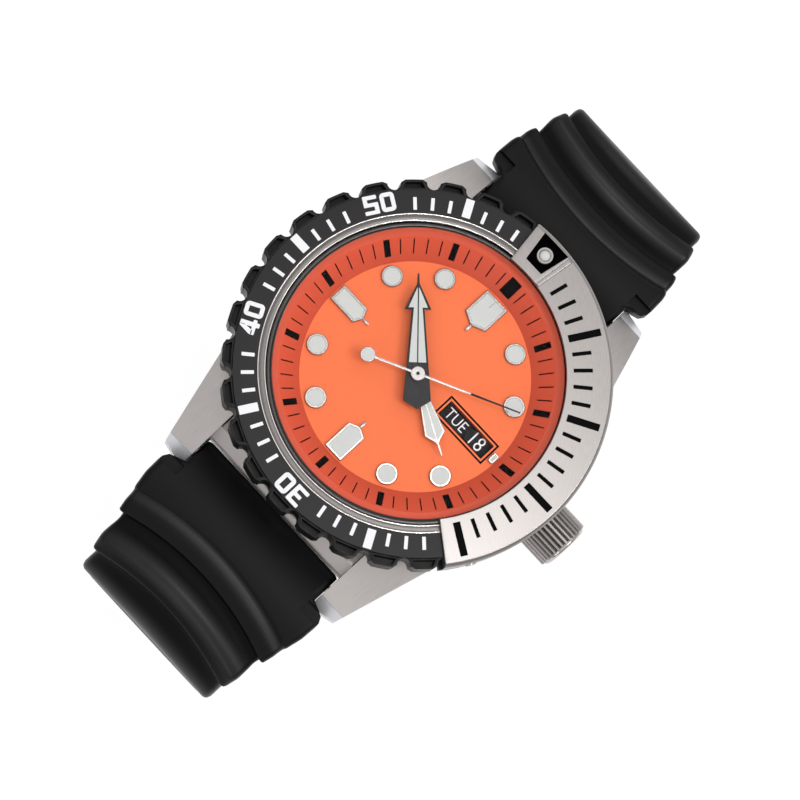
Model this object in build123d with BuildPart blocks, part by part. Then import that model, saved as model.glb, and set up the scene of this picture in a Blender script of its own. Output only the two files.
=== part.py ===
"""Dive watch: screw-back case, one-way bezel, automatic movement and a two-piece rubber strap.

Frame: origin on the dial axis at the outer face of the case back, +Z out through the crystal,
+Y to 12 o'clock, +X to the crown.  Millimetres.
"""
from build123d import *
import os
from math import cos, radians, sin

os.makedirs("parts", exist_ok=True)

# ---------------------------------------------------------------- driving dimensions
bezel_radius = 22.45          # over the bezel's rim
case_radius = 20.8            # round middle of the case
lug_gap = 22.0                # strap width between the lugs
lug_reach = 25.9              # dial axis to the lug tips
lug_tip_width = 28.6          # over both lugs at their tips
case_height = 9.0             # case back's outer face to the shoulder under the bezel
dial_level = 9.8              # top face of the dial
crystal_radius = 16.2
crystal_thickness = 1.6
movement_radius = 13.7
dial_radius = 14.25
crown_radius = 3.3
crown_length = 4.3
strap_thickness = 3.6
strap_tail_width = 20.0
strap_shoulder_width = 26.4

# fits and clearances
running = 0.05                # radial gap of a shaft in its hole
air = 0.3                     # gap between pieces that move past each other
thin_air = 0.1                # the same inside the movement

# ---------------------------------------------------------------- levels and radii that follow
flange_height = 0.9           # case back flange, below the case
collar_radius = 16.0          # threaded collar of the case back
back_flange_radius = 18.7
collar_top = 2.9
back_wall = 1.3
inner_bore = collar_radius
crystal_seat = dial_level + 2.0
neck_radius = crystal_radius + 1.2
ring_top = crystal_seat + 0.85

bezel_bore = neck_radius + 0.1
bezel_bottom = case_height + air
bezel_top = dial_level + 3.2
bezel_face_radius = bezel_radius - 1.25
bezel_rim_top = bezel_top - 0.25
scallop_count = 30
scallop_pitch = 360 / scallop_count
scallop_radius = 0.85
scallop_depth = 0.5           # how far the scallop's centre lies inside the rim
sector_start = -8.2           # degrees clockwise from 12 o'clock
sector_end = 126.0
sector_bore = 16.9
sector_top = bezel_top + 0.4
sector_seat = bezel_bottom + 1.3
pip_radius = 19.95            # dial axis to the luminous pip

crown_level = bezel_bottom - air - crown_radius
crown_start = case_radius + 0.8
tube_radius = 1.75
stem_radius = 0.45
stem_end = 12.3
crown_pull = 1.2

hour_level = dial_level + 0.65
minute_level = hour_level + 0.5
seconds_level = minute_level + 0.45
hand_thickness = 0.2
hour_angle = 116.3            # degrees clockwise from 12 o'clock
minute_angle = 314.2
seconds_angle = 63.5

bar_offset = 2.7              # spring bar to lug tip
bar_reach = lug_reach - bar_offset
bar_level = 2.6
bar_radius = 0.9
bar_tip_radius = 0.5


def clockwise(angle, height):
    """Plane at a height whose local +Y points at an angle counted clockwise from 12 o'clock."""
    return Plane.XY.offset(height).rotated((0, 0, -angle))


def turned(points, mode=Mode.ADD):
    """Turn a closed outline of (radius, height) points about the dial axis."""
    with BuildSketch(Plane.XZ) as outline:
        with BuildLine():
            Polyline(*points, close=True)
        make_face()
    revolve(outline.sketch, axis=Axis.Z, mode=mode)


def swept(points, first, last, mode=Mode.ADD):
    """Sweep a (radius, height) outline from one clockwise angle to another."""
    angle = radians(last)
    start = Plane((0, 0, 0), x_dir=(sin(angle), cos(angle), 0), z_dir=(cos(angle), -sin(angle), 0))
    with BuildSketch(start) as outline:
        with BuildLine():
            Polyline(*points, close=True)
        make_face()
    revolve(outline.sketch, axis=Axis.Z, revolution_arc=last - first, mode=mode)


def ring(inner, outer, bottom, top):
    """Plain ring about the dial axis."""
    turned([(inner, bottom), (outer, bottom), (outer, top), (inner, top)])


def slab(points, plane, thickness, mode=Mode.ADD):
    """Plate with straight edges, standing on a plane."""
    with BuildSketch(plane) as outline:
        with BuildLine():
            Polyline(*points, close=True)
        make_face()
    extrude(outline.sketch, amount=thickness, mode=mode)


def disc(x, y, radius, bottom, top, mode=Mode.ADD):
    """Round boss, or hole, with its axis along Z."""
    with BuildSketch(Plane.XY.offset(bottom)) as outline:
        with Locations((x, y)):
            Circle(radius)
    extrude(outline.sketch, amount=top - bottom, mode=mode)


def faceted(centre, radius, sides, bottom, top, mode=Mode.ADD):
    """Many-sided post; a hole is drawn round the circle, so that what turns in it stays clear."""
    with BuildSketch(Plane.XY.offset(bottom)) as outline:
        with Locations(centre):
            RegularPolygon(radius, sides, major_radius=mode == Mode.ADD)
    extrude(outline.sketch, amount=top - bottom, mode=mode)


def finish(piece, name):
    """Name a finished piece and write it."""
    piece.part.label = name
    export_step(piece.part, f"parts/{name}.step")


# ---------------------------------------------------------------- case
flank_slope = 0.25
tip_half = lug_tip_width / 2
shoulder_half = tip_half + flank_slope * (lug_reach - 8.0)

with BuildPart() as case:
    # plan of the lugs, tapering to their tips
    with BuildSketch(Plane.XY):
        with BuildLine():
            Polyline(
                (0, lug_reach), (lug_gap / 2 + 0.4, lug_reach), (tip_half, lug_reach - 0.7),
                (shoulder_half, 8.0), (shoulder_half, 0), (0, 0), close=True,
            )
        make_face()
        mirror(about=Plane.XZ)
        mirror(about=Plane.YZ)
    extrude(amount=case_height)
    # side view of the lugs: sloping tops that break into a steep facet at each tip
    with BuildSketch(Plane.YZ):
        with BuildLine():
            tip = Polyline(
                (0, flange_height), (18.0, flange_height), (lug_reach, 0.45), (lug_reach, 2.3),
                (lug_reach - 1.6, 4.1),
            )
            crest = ThreePointArc(tip @ 1, (19.6, 6.55), (14.0, case_height - 0.3))
            Polyline(crest @ 1, (0, case_height - 0.3), (0, flange_height))
        make_face()
        mirror(about=Plane.YZ)
    extrude(amount=bezel_radius, both=True, mode=Mode.INTERSECT)
    # gap for the strap
    with BuildSketch(Plane.XY):
        Rectangle(lug_gap, 3 * lug_reach)
        Circle(case_radius - 2, mode=Mode.SUBTRACT)
    extrude(amount=case_height, mode=Mode.SUBTRACT)
    # round middle and the neck that carries the crystal
    turned([
        (0, flange_height), (case_radius - 1.2, flange_height), (case_radius, flange_height + 1.6),
        (case_radius, case_height), (0, case_height),
    ])
    faceted((0, 0), neck_radius, 48, case_height - 1, crystal_seat)
    # through bore for the case back, the movement and the dial
    faceted((0, 0), inner_bore, 48, 0, crystal_seat, mode=Mode.SUBTRACT)
    # bore for the crown tube
    with BuildSketch(Plane.YZ.offset(inner_bore - 2)):
        with Locations((0, crown_level)):
            Circle(tube_radius)
    extrude(amount=case_radius, mode=Mode.SUBTRACT)
    # blind holes for the spring bar tips
    with BuildSketch(Plane.YZ):
        with Locations((bar_reach, bar_level), (-bar_reach, bar_level)):
            RegularPolygon(bar_tip_radius + running, 8)
    extrude(amount=lug_gap / 2 + 1.0, both=True, mode=Mode.SUBTRACT)
finish(case, "case")

# ---------------------------------------------------------------- case back
with BuildPart() as case_back:
    turned([
        (0, 0), (back_flange_radius - 1.6, 0), (back_flange_radius, flange_height),
        (0, flange_height),
    ])
    # threaded collar and the space inside it for the rotor
    faceted((0, 0), collar_radius, 48, flange_height, collar_top)
    faceted((0, 0), collar_radius - 1.2, 48, back_wall, collar_top, mode=Mode.SUBTRACT)
    # key notches for the case wrench
    with BuildSketch(Plane.XY):
        with PolarLocations(back_flange_radius - 2.0, 6, 30):
            Rectangle(1.6, 2.4)
    extrude(amount=0.35, mode=Mode.SUBTRACT)
finish(case_back, "case_back")

# ---------------------------------------------------------------- crystal and its ring
with BuildPart() as crystal:
    turned([
        (0, crystal_seat), (crystal_radius, crystal_seat),
        (crystal_radius, crystal_seat + crystal_thickness - 0.35),
        (crystal_radius - 0.35, crystal_seat + crystal_thickness),
        (0, crystal_seat + crystal_thickness),
    ])
finish(crystal, "crystal")

with BuildPart() as crystal_ring:
    turned([
        (crystal_radius, crystal_seat), (neck_radius, crystal_seat), (neck_radius, ring_top),
        (crystal_radius, ring_top),
    ])
finish(crystal_ring, "crystal_ring")

# ---------------------------------------------------------------- chapter ring and dial
chapter_foot = 13.4
with BuildPart() as chapter_ring:
    turned([
        (chapter_foot, dial_level), (inner_bore - running, dial_level),
        (inner_bore - running, crystal_seat),
    ])
finish(chapter_ring, "chapter_ring")

dial_thickness = 0.4
window_inner = 4.95
window_outer = 11.9
window_height = 2.0
hour_pipe_radius = 0.75
with BuildPart() as dial:
    faceted((0, 0), dial_radius, 48, dial_level - dial_thickness, dial_level)
    with BuildSketch(Plane.XY.offset(dial_level - dial_thickness)):
        Circle(hour_pipe_radius + 0.15)
        with Locations(((window_inner + window_outer) / 2, 0)):
            Rectangle(window_outer - window_inner, window_height)
    extrude(amount=dial_thickness, mode=Mode.SUBTRACT)
finish(dial, "dial")

# ---------------------------------------------------------------- hour markers
plot_reach = 11.85
plot_radius = 1.26
marker_height = 0.35


def pointed_marker(angle, width, inner, outer):
    """Applied marker with a point and a short stem towards the centre."""
    half = width / 2
    stem = 0.24
    slab([
        (-half, outer), (-half, inner), (-stem, inner - 0.4), (-stem, inner - 1.3),
        (stem, inner - 1.3), (stem, inner - 0.4), (half, inner), (half, outer),
    ], clockwise(angle, dial_level), marker_height)


with BuildPart() as hour_markers:
    for hour in (1, 2, 4, 5, 7, 8, 10, 11):
        faceted((plot_reach * sin(radians(30 * hour)), plot_reach * cos(radians(30 * hour))),
                plot_radius, 12, dial_level, dial_level + marker_height)
    pointed_marker(0, 3.4, 9.5, 13.1)
    pointed_marker(180, 2.6, 9.4, 13.2)
    pointed_marker(270, 2.35, 9.4, 13.2)
    with BuildSketch(Plane.XY.offset(dial_level)):
        with Locations((12.95, 0)):
            Rectangle(0.8, 1.3)
    extrude(amount=marker_height)
finish(hour_markers, "hour_markers")

# ---------------------------------------------------------------- rotating bezel
with BuildPart() as bezel_ring:
    turned([
        (bezel_bore, bezel_bottom), (bezel_radius, bezel_bottom), (bezel_radius, bezel_rim_top),
        (bezel_face_radius, bezel_rim_top), (bezel_face_radius, bezel_top), (bezel_bore, bezel_top),
    ])
    # seat for the steel sector
    swept([
        (bezel_bore - 1, sector_seat), (bezel_radius + 1, sector_seat),
        (bezel_radius + 1, bezel_top + 1), (bezel_bore - 1, bezel_top + 1),
    ], sector_start - 0.6, sector_end + 0.6, mode=Mode.SUBTRACT)
    # grip: flared scallops between the teeth
    first_scallop = sector_end + scallop_pitch
    scallops = int((360 + sector_start - first_scallop) / scallop_pitch) + 1
    with BuildSketch(Plane.XY.offset(bezel_bottom)):
        with PolarLocations(bezel_radius - scallop_depth, scallops, 90 - first_scallop,
                            -scallop_pitch * (scallops - 1), endpoint=True):
            RegularPolygon(scallop_radius, 10)
            Trapezoid(2.9, 0.8, 122, rotation=90, align=(Align.CENTER, Align.MAX))
    extrude(amount=bezel_top - bezel_bottom, mode=Mode.SUBTRACT)
    # pocket in the top of each tooth
    with BuildSketch(Plane.XY.offset(bezel_top)):
        with PolarLocations(bezel_radius - 0.72, scallops, 90 - first_scallop + scallop_pitch / 2,
                            -scallop_pitch * (scallops - 1), endpoint=True):
            Trapezoid(2.6, 0.75, 65, rotation=-90)
    extrude(amount=-1.1, mode=Mode.SUBTRACT)
finish(bezel_ring, "bezel_ring")

sector_overhang = ring_top + 0.15
block_rise = 0.22
block_end = 7.2
mark_depth = 0.25
major_minutes = (5, 10, 15, 20)
minor_minutes = (2, 3, 4, 6, 7, 8, 9, 11, 12, 13, 14, 16, 17, 18, 19)
recess_floor = sector_top + block_rise - 0.5
with BuildPart() as bezel_sector:
    swept([
        (sector_bore, sector_overhang), (bezel_bore + 0.4, sector_overhang),
        (bezel_bore + 0.4, sector_seat), (bezel_radius, sector_seat),
        (bezel_radius, sector_top - 0.4), (bezel_radius - 0.4, sector_top),
        (sector_bore, sector_top),
    ], sector_start, sector_end)
    # raised block round the pip, bevelled at both ends
    swept([
        (sector_bore, sector_top), (bezel_radius - 0.4, sector_top),
        (bezel_radius - 0.4 - block_rise, sector_top + block_rise),
        (sector_bore, sector_top + block_rise),
    ], sector_start, block_end)
    block_ends = edges().filter_by(GeomType.LINE).group_by(Axis.Z)[-1]
    chamfer(block_ends, length=block_rise - 0.01, length2=0.45)
    # recess for the pip
    with BuildSketch(Plane.XY.offset(recess_floor)):
        with Locations((0, pip_radius)):
            Trapezoid(3.9, 3.8, 79.5, rotation=180)
    extrude(amount=1, mode=Mode.SUBTRACT)
    # engraved minute marks
    for minutes, inner, outer, width in (
        (major_minutes, 17.6, 21.4, 0.82), (minor_minutes, 17.45, 19.55, 0.4),
    ):
        for minute in minutes:
            with BuildSketch(clockwise(6 * minute, sector_top - mark_depth)):
                with Locations((0, (inner + outer) / 2)):
                    Rectangle(width, outer - inner)
            extrude(amount=1, mode=Mode.SUBTRACT)
finish(bezel_sector, "bezel_sector")

pip_cup_radius = 0.85
pip_bead_radius = 0.55
with BuildPart() as bezel_pip_cup:
    with BuildSketch(Plane.XY.offset(recess_floor)):
        with Locations((0, pip_radius)):
            RegularPolygon(pip_cup_radius, 16)
            RegularPolygon(pip_bead_radius, 16, mode=Mode.SUBTRACT)
    extrude(amount=0.55)
finish(bezel_pip_cup, "bezel_pip_cup")

with BuildPart() as bezel_pip_bead:
    faceted((0, pip_radius), pip_bead_radius, 16, recess_floor, recess_floor + 0.6)
finish(bezel_pip_bead, "bezel_pip_bead")

with BuildPart() as bezel_click_spring:
    swept([
        (18.4, case_height), (19.2, case_height), (19.2, case_height + 0.15),
        (18.4, case_height + 0.15),
    ], 200, 240)
finish(bezel_click_spring, "bezel_click_spring")

# ---------------------------------------------------------------- crown
crown_axis = Axis((0, 0, crown_level), (1, 0, 0))
crown_flutes = 30
crown_end = crown_start + crown_length
crown_recess = 2.7            # depth of the recess that takes the tube
tube_end = crown_start + 2.3
gasket_start = crown_start + 0.5
gasket_width = 0.6


def crown_turned(points, mode=Mode.ADD):
    """Turn an outline of (distance along the crown's axis, radius) points about that axis."""
    with BuildSketch(Plane((0, 0, crown_level), x_dir=(1, 0, 0), z_dir=(0, -1, 0))) as outline:
        with BuildLine():
            Polyline(*points, close=True)
        make_face()
    revolve(outline.sketch, axis=crown_axis, mode=mode)


with BuildPart() as crown:
    # fluted grip
    with BuildSketch(Plane.YZ.offset(crown_start)):
        with BuildLine():
            grip = []
            for flute in range(crown_flutes):
                for turn, depth in ((0, 0.25), (0.5, 0)):
                    angle = radians((flute + turn) * 360 / crown_flutes)
                    grip.append(((crown_radius - depth) * cos(angle),
                                 crown_level + (crown_radius - depth) * sin(angle)))
            Polyline(*grip, close=True)
        make_face()
    extrude(amount=crown_length)
    # smooth domed end
    crown_turned([
        (crown_end, 0), (crown_end, crown_radius - 0.35), (crown_end + 0.45, crown_radius - 1.1),
        (crown_end + 0.45, 0),
    ])
    crown_turned([
        (crown_start - 1, 0), (crown_start - 1, tube_radius + 0.55),
        (crown_start + crown_recess, tube_radius + 0.55), (crown_start + crown_recess, 0),
    ], mode=Mode.SUBTRACT)
    with BuildSketch(Plane.YZ.offset(crown_start + crown_recess)):
        with Locations((0, crown_level)):
            RegularPolygon(stem_radius, 8)
    extrude(amount=1, mode=Mode.SUBTRACT)
finish(crown, "crown")

def crown_bush(inner, outer, start, length):
    """Many-sided bush on the crown's axis."""
    with BuildSketch(Plane.YZ.offset(start)) as outline:
        with Locations((0, crown_level)):
            RegularPolygon(outer, 16)
            RegularPolygon(inner, 16, major_radius=False, mode=Mode.SUBTRACT)
    extrude(outline.sketch, amount=length)


with BuildPart() as crown_tube:
    crown_bush(stem_radius + 0.1, tube_radius, inner_bore + 0.2, tube_end - inner_bore - 0.2)
finish(crown_tube, "crown_tube")

with BuildPart() as crown_gasket:
    crown_bush(tube_radius + running, tube_radius + 0.5, gasket_start, gasket_width)
finish(crown_gasket, "crown_gasket")

with BuildPart() as winding_stem:
    with BuildSketch(Plane.YZ.offset(stem_end)):
        with Locations((0, crown_level)):
            RegularPolygon(stem_radius, 8)
    extrude(amount=crown_start + crown_recess + 1 - stem_end)
finish(winding_stem, "winding_stem")

# ---------------------------------------------------------------- hands
minute_pipe_radius = 0.45
seconds_post_radius = 0.12


def hand(points, angle, level, hub_radius):
    """Flat hand pointing at a clockwise angle, with a round boss at the dial axis."""
    slab(points, clockwise(angle, level), hand_thickness)
    faceted((0, 0), hub_radius, 20, level, level + hand_thickness)


with BuildPart() as hour_hand:
    hand([
        (0.55, -0.8), (0.62, 3.2), (1.2, 7.05), (0.15, 8.15), (0.1, 9.7),
        (-0.1, 9.7), (-0.15, 8.15), (-1.2, 7.05), (-0.62, 3.2), (-0.55, -0.8),
    ], hour_angle, hour_level, 1.3)
    faceted((0, 0), hour_pipe_radius, 12, hour_level, hour_level + hand_thickness, mode=Mode.SUBTRACT)
finish(hour_hand, "hour_hand")

with BuildPart() as minute_hand:
    hand([
        (0, -4.05), (1.64, -3.1), (1.22, 1.4), (0.7, 7.5), (1.55, 7.5), (0.15, 10.5),
        (0.1, 11.75), (-0.1, 11.75), (-0.15, 10.5), (-1.55, 7.5), (-0.7, 7.5), (-1.22, 1.4),
        (-1.64, -3.1),
    ], minute_angle, minute_level, 1.2)
    faceted((0, 0), minute_pipe_radius, 12, minute_level, minute_level + hand_thickness,
            mode=Mode.SUBTRACT)
finish(minute_hand, "minute_hand")

with BuildPart() as seconds_hand:
    hand([
        (0.14, -6.1), (0.1, 12.55), (-0.1, 12.55), (-0.14, -6.1),
    ], seconds_angle, seconds_level, 0.8)
    with BuildSketch(clockwise(seconds_angle, seconds_level)):
        with Locations((0, -6.1)):
            RegularPolygon(0.88, 20)
    extrude(amount=hand_thickness)
finish(seconds_hand, "seconds_hand")

# ---------------------------------------------------------------- movement: levels and axes
dial_seat = dial_level - dial_thickness
disc_level = dial_seat - 0.35         # underside of the day and date discs
disc_thickness = 0.15
plate_top = disc_level - 1.3
plate_bottom = plate_top - 0.8
bridge_bottom = plate_bottom - 2.35
bridge_top = bridge_bottom + 0.6
cock_bottom = bridge_bottom - 0.1
cock_top = cock_bottom + 0.3
rotor_top = bridge_bottom - 0.4
arbor_radius = 0.12
pivot_gap = running
wheel_thickness = 0.14

train_module = 0.115                  # centre wheel and third pinion
centre_teeth = 48
centre_pinion_teeth = 10
third_teeth = 45
fourth_teeth = 42
pinion_teeth = 6
escape_teeth = 15
barrel_teeth = 60
barrel_module = 0.16
motion_module = 0.15
cannon_teeth = 10
minute_wheel_teeth = 30
minute_pinion_teeth = 8
hour_wheel_teeth = 32

third_reach = train_module * (centre_teeth + pinion_teeth) / 2
third_module = 2 * third_reach / (third_teeth + pinion_teeth)
fourth_module = 0.1285
escape_reach = fourth_module * (fourth_teeth + pinion_teeth) / 2
barrel_reach = barrel_module * (barrel_teeth + centre_pinion_teeth) / 2
minute_wheel_reach = motion_module * (cannon_teeth + minute_wheel_teeth) / 2
escape_radius = 2.0
pallet_reach = escape_reach + escape_radius / cos(radians(30))
balance_reach = pallet_reach + 2.9
balance_radius = 3.4

barrel_side = 150             # directions from the dial axis, counted from +X towards +Y
third_side = barrel_side + 128
escape_side = barrel_side - 118
minute_wheel_side = 250


def place(side, reach):
    """Point at a direction and a distance from the dial axis."""
    return reach * cos(radians(side)), reach * sin(radians(side))


barrel_axis = place(barrel_side, barrel_reach)
third_axis = place(third_side, third_reach)
escape_axis = place(escape_side, escape_reach)
pallet_axis = place(escape_side, pallet_reach)
balance_axis = place(escape_side, balance_reach)
minute_wheel_axis = place(minute_wheel_side, minute_wheel_reach)
train_feet = (place(222, 5.6), place(340, 5.6))
barrel_feet = (place(barrel_side - 22, 11.9), place(barrel_side + 22, 11.9))
cock_foot = place(escape_side - 38, 11.6)
hollow_radius = seconds_post_radius + running
centre_arbor_radius = 0.3
barrel_arbor_radius = 0.5
stud_radius = 0.3
roller_radius = 0.5
barrel_bottom = bridge_top + 0.35
barrel_top = barrel_bottom + 0.95
barrel_rim = 0.35
centre_level = plate_bottom - 0.3
centre_arbor_top = plate_top + 0.85
third_level = bridge_top + 0.55
fourth_level = bridge_top + 0.12
balance_level = bridge_top - 0.1
minute_teeth_level = plate_top + 0.25
hour_teeth_level = minute_teeth_level + 0.45


def toothed(centre, teeth, module, toward, bottom, top, meets=False):
    """Toothed rim with a tooth, or a gap if it meets another rim's tooth, toward a direction."""
    pitch = 360 / teeth
    root = module * (teeth / 2 - 1.15)
    tip = module * (teeth / 2 + 0.85)
    first = toward + (pitch / 2 if meets else 0)
    tooth_shape = ((-0.5, root), (0, tip))
    if teeth <= cannon_teeth:
        tooth_shape = ((-0.5, root), (-0.12, tip), (0.12, tip))
    points = []
    for tooth in range(teeth):
        for turn, radius in tooth_shape:
            x, y = place(first + (tooth + turn) * pitch, radius)
            points.append((centre[0] + x, centre[1] + y))
    slab(points, Plane.XY.offset(bottom), top - bottom)


def arbor(centre, radius, bottom, top):
    """Thin arbor along Z."""
    faceted(centre, radius, 8, bottom, top)


def bore(centre, radius, bottom, top):
    """Hole along Z for an arbor or a pipe."""
    faceted(centre, radius, 12, bottom, top, mode=Mode.SUBTRACT)


def hull_plate(discs, bottom, top):
    """Plate whose outline is drawn tight round a few discs of (centre, radius)."""
    with BuildSketch(Plane.XY.offset(bottom)) as outline:
        for centre, radius in discs:
            with Locations(centre):
                RegularPolygon(radius, 12)
        make_hull()
    extrude(outline.sketch, amount=top - bottom)


def spiral(centre, inner, step, turns, width, bottom, top):
    """Flat spiral spring, bent in short straight lengths."""
    corners = 8
    points = []
    for offset_side in (1, -1):
        wall = []
        for corner in range(corners * turns + 1):
            x, y = place(corner * 360 / corners, inner + step * corner / corners + offset_side * width / 2)
            wall.append((centre[0] + x, centre[1] + y))
        points.extend(wall[::offset_side])
    slab(points, Plane.XY.offset(bottom), top - bottom)


# ---------------------------------------------------------------- movement: fixed frame
origin = (0, 0)
arbor_bottom = bridge_top + pivot_gap / 2
arbor_top = plate_bottom - pivot_gap / 2
with BuildPart() as movement_ring:
    faceted(origin, inner_bore - running, 36, collar_top + running, dial_seat)
    faceted(origin, movement_radius, 36, collar_top, dial_seat, mode=Mode.SUBTRACT)
    with BuildSketch(Plane.YZ):
        with Locations((0, crown_level)):
            RegularPolygon(stem_radius + 0.25, 8)
    extrude(amount=inner_bore + 1, mode=Mode.SUBTRACT)
finish(movement_ring, "movement_ring")

with BuildPart() as main_plate:
    faceted(origin, movement_radius, 36, plate_bottom, plate_top)
    bore(origin, centre_arbor_radius + running, plate_bottom, plate_top)
    disc(*minute_wheel_axis, stud_radius, plate_top, plate_top + 1.0)
finish(main_plate, "main_plate")

with BuildPart() as train_bridge:
    hull_plate([(origin, 3.9), (train_feet[0], 1.0), (train_feet[1], 1.0)], bridge_bottom, bridge_top)
    for foot in train_feet:
        arbor(foot, 0.8, bridge_top, plate_bottom)
finish(train_bridge, "train_bridge")

with BuildPart() as barrel_bridge:
    hull_plate([(barrel_axis, 1.5), (barrel_feet[0], 1.1), (barrel_feet[1], 1.1)],
               bridge_bottom, bridge_top)
    for foot in barrel_feet:
        arbor(foot, 0.9, bridge_top, plate_bottom)
    bore(barrel_axis, barrel_arbor_radius + running, bridge_bottom, bridge_top)
finish(barrel_bridge, "barrel_bridge")

with BuildPart() as balance_cock:
    hull_plate([(balance_axis, 0.9), (cock_foot, 1.1)], cock_bottom, cock_top)
    arbor(cock_foot, 0.9, cock_top, plate_bottom)
finish(balance_cock, "balance_cock")

pallet_bridge_level = bridge_top + 0.3
pallet_bridge_thickness = 0.12
with BuildPart() as pallet_bridge:
    ends = (place(escape_side + 21, pallet_reach + 0.6), place(escape_side - 21, pallet_reach + 0.6))
    slab([
        (ends[0][0], ends[0][1]), place(escape_side, pallet_reach - 0.5),
        (ends[1][0], ends[1][1]), place(escape_side, pallet_reach + 0.5),
    ], Plane.XY.offset(pallet_bridge_level), pallet_bridge_thickness)
    for end in ends:
        arbor(end, 0.35, pallet_bridge_level, plate_bottom)
finish(pallet_bridge, "pallet_bridge")

# ---------------------------------------------------------------- going train
barrel_drum = barrel_module * (barrel_teeth / 2 - 1.3)
barrel_wall = 0.35
with BuildPart() as barrel:
    faceted(barrel_axis, barrel_drum, 24, barrel_bottom, barrel_top - barrel_rim)
    toothed(barrel_axis, barrel_teeth, barrel_module, barrel_side + 180, barrel_top - barrel_rim,
            barrel_top)
    faceted(barrel_axis, barrel_drum - barrel_wall, 24, barrel_bottom + 0.15, barrel_top,
            mode=Mode.SUBTRACT)
    bore(barrel_axis, barrel_arbor_radius + running, barrel_bottom, barrel_top)
finish(barrel, "barrel")

with BuildPart() as mainspring:
    spiral(barrel_axis, 0.9, 1.0, 3, 0.3, barrel_bottom + 0.2, barrel_top - 0.1)
finish(mainspring, "mainspring")

ratchet_level = rotor_top + 0.12
with BuildPart() as barrel_arbor:
    arbor(barrel_axis, barrel_arbor_radius, ratchet_level, arbor_top)
finish(barrel_arbor, "barrel_arbor")

with BuildPart() as ratchet_wheel:
    toothed(barrel_axis, 24, 0.2, 0, ratchet_level, ratchet_level + wheel_thickness)
    faceted(barrel_axis, barrel_arbor_radius * cos(radians(22.5)), 8, ratchet_level,
            ratchet_level + wheel_thickness, mode=Mode.SUBTRACT)
finish(ratchet_wheel, "ratchet_wheel")

with BuildPart() as centre_wheel:
    toothed(origin, centre_teeth, train_module, third_side, centre_level, centre_level + wheel_thickness)
    toothed(origin, centre_pinion_teeth, barrel_module, barrel_side, barrel_top - barrel_rim - 0.05,
            centre_level, True)
    arbor(origin, centre_arbor_radius, centre_level, centre_arbor_top)
    bore(origin, hollow_radius, barrel_top - barrel_rim - 0.05, centre_arbor_top)
finish(centre_wheel, "centre_wheel")

with BuildPart() as third_wheel:
    toothed(third_axis, third_teeth, third_module, third_side + 180, third_level,
            third_level + wheel_thickness)
    toothed(third_axis, pinion_teeth, train_module, third_side + 180, centre_level - 0.1,
            centre_level + wheel_thickness + 0.05, True)
    arbor(third_axis, arbor_radius, arbor_bottom, arbor_top)
finish(third_wheel, "third_wheel")

with BuildPart() as fourth_wheel:
    toothed(origin, fourth_teeth, fourth_module, escape_side, fourth_level,
            fourth_level + wheel_thickness)
    toothed(origin, pinion_teeth, third_module, third_side, third_level - 0.1,
            third_level + wheel_thickness + 0.1, True)
    arbor(origin, arbor_radius, arbor_bottom, seconds_level)
finish(fourth_wheel, "fourth_wheel")

with BuildPart() as escape_wheel:
    # hooked teeth round a thin rim
    with BuildSketch(Plane.XY.offset(third_level)):
        with BuildLine():
            rim = []
            for tooth in range(escape_teeth):
                heel = escape_side + (tooth + 0.5) * 360 / escape_teeth
                for lead, radius in ((-8.0, 1.5), (-1.0, escape_radius), (1.5, escape_radius), (3.0, 1.45)):
                    x, y = place(heel + lead, radius)
                    rim.append((escape_axis[0] + x, escape_axis[1] + y))
            Polyline(*rim, close=True)
        make_face()
    extrude(amount=wheel_thickness)
    toothed(escape_axis, pinion_teeth, fourth_module, escape_side + 180, fourth_level - 0.05,
            fourth_level + wheel_thickness + 0.1, True)
    arbor(escape_axis, arbor_radius, arbor_bottom, arbor_top)
finish(escape_wheel, "escape_wheel")


def lever_plane(height):
    """Plane on the pallet axis whose local +Y points at the balance."""
    return Plane((*pallet_axis, height), x_dir=(sin(radians(escape_side)), -cos(radians(escape_side)), 0),
                 z_dir=(0, 0, 1))


with BuildPart() as pallet_fork:
    with BuildSketch(lever_plane(third_level)):
        with BuildLine():
            Polyline(
                (-0.22, 0.1), (-0.12, 1.9), (-0.35, 2.3), (-0.2, 2.35), (0, 2.1), (0.2, 2.35),
                (0.35, 2.3), (0.12, 1.9), (0.22, 0.1), (1.25, -0.25), (1.25, -0.52), (1.05, -0.52),
                (0.9, -0.35), (0, -0.25), (-0.9, -0.35), (-1.05, -0.52), (-1.25, -0.52),
                (-1.25, -0.25), close=True,
            )
        make_face()
    extrude(amount=wheel_thickness)
    arbor(pallet_axis, arbor_radius, pallet_bridge_level + pallet_bridge_thickness + pivot_gap / 2,
          arbor_top)
finish(pallet_fork, "pallet_fork")

with BuildPart() as balance_wheel:
    with BuildSketch(Plane.XY.offset(balance_level)):
        with Locations(balance_axis):
            RegularPolygon(balance_radius, 20)
            RegularPolygon(balance_radius - 0.45, 20, mode=Mode.SUBTRACT)
            Rectangle(0.5, 2 * balance_radius - 0.5, rotation=escape_side)
    extrude(amount=0.25)
    arbor(balance_axis, arbor_radius, cock_top + pivot_gap / 2, arbor_top)
    arbor(balance_axis, roller_radius, third_level - 0.05, third_level + 0.2)
finish(balance_wheel, "balance_wheel")

with BuildPart() as hairspring:
    spiral(balance_axis, 0.4, 0.55, 3, 0.1, cock_top, cock_top + 0.1)
finish(hairspring, "hairspring")

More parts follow.
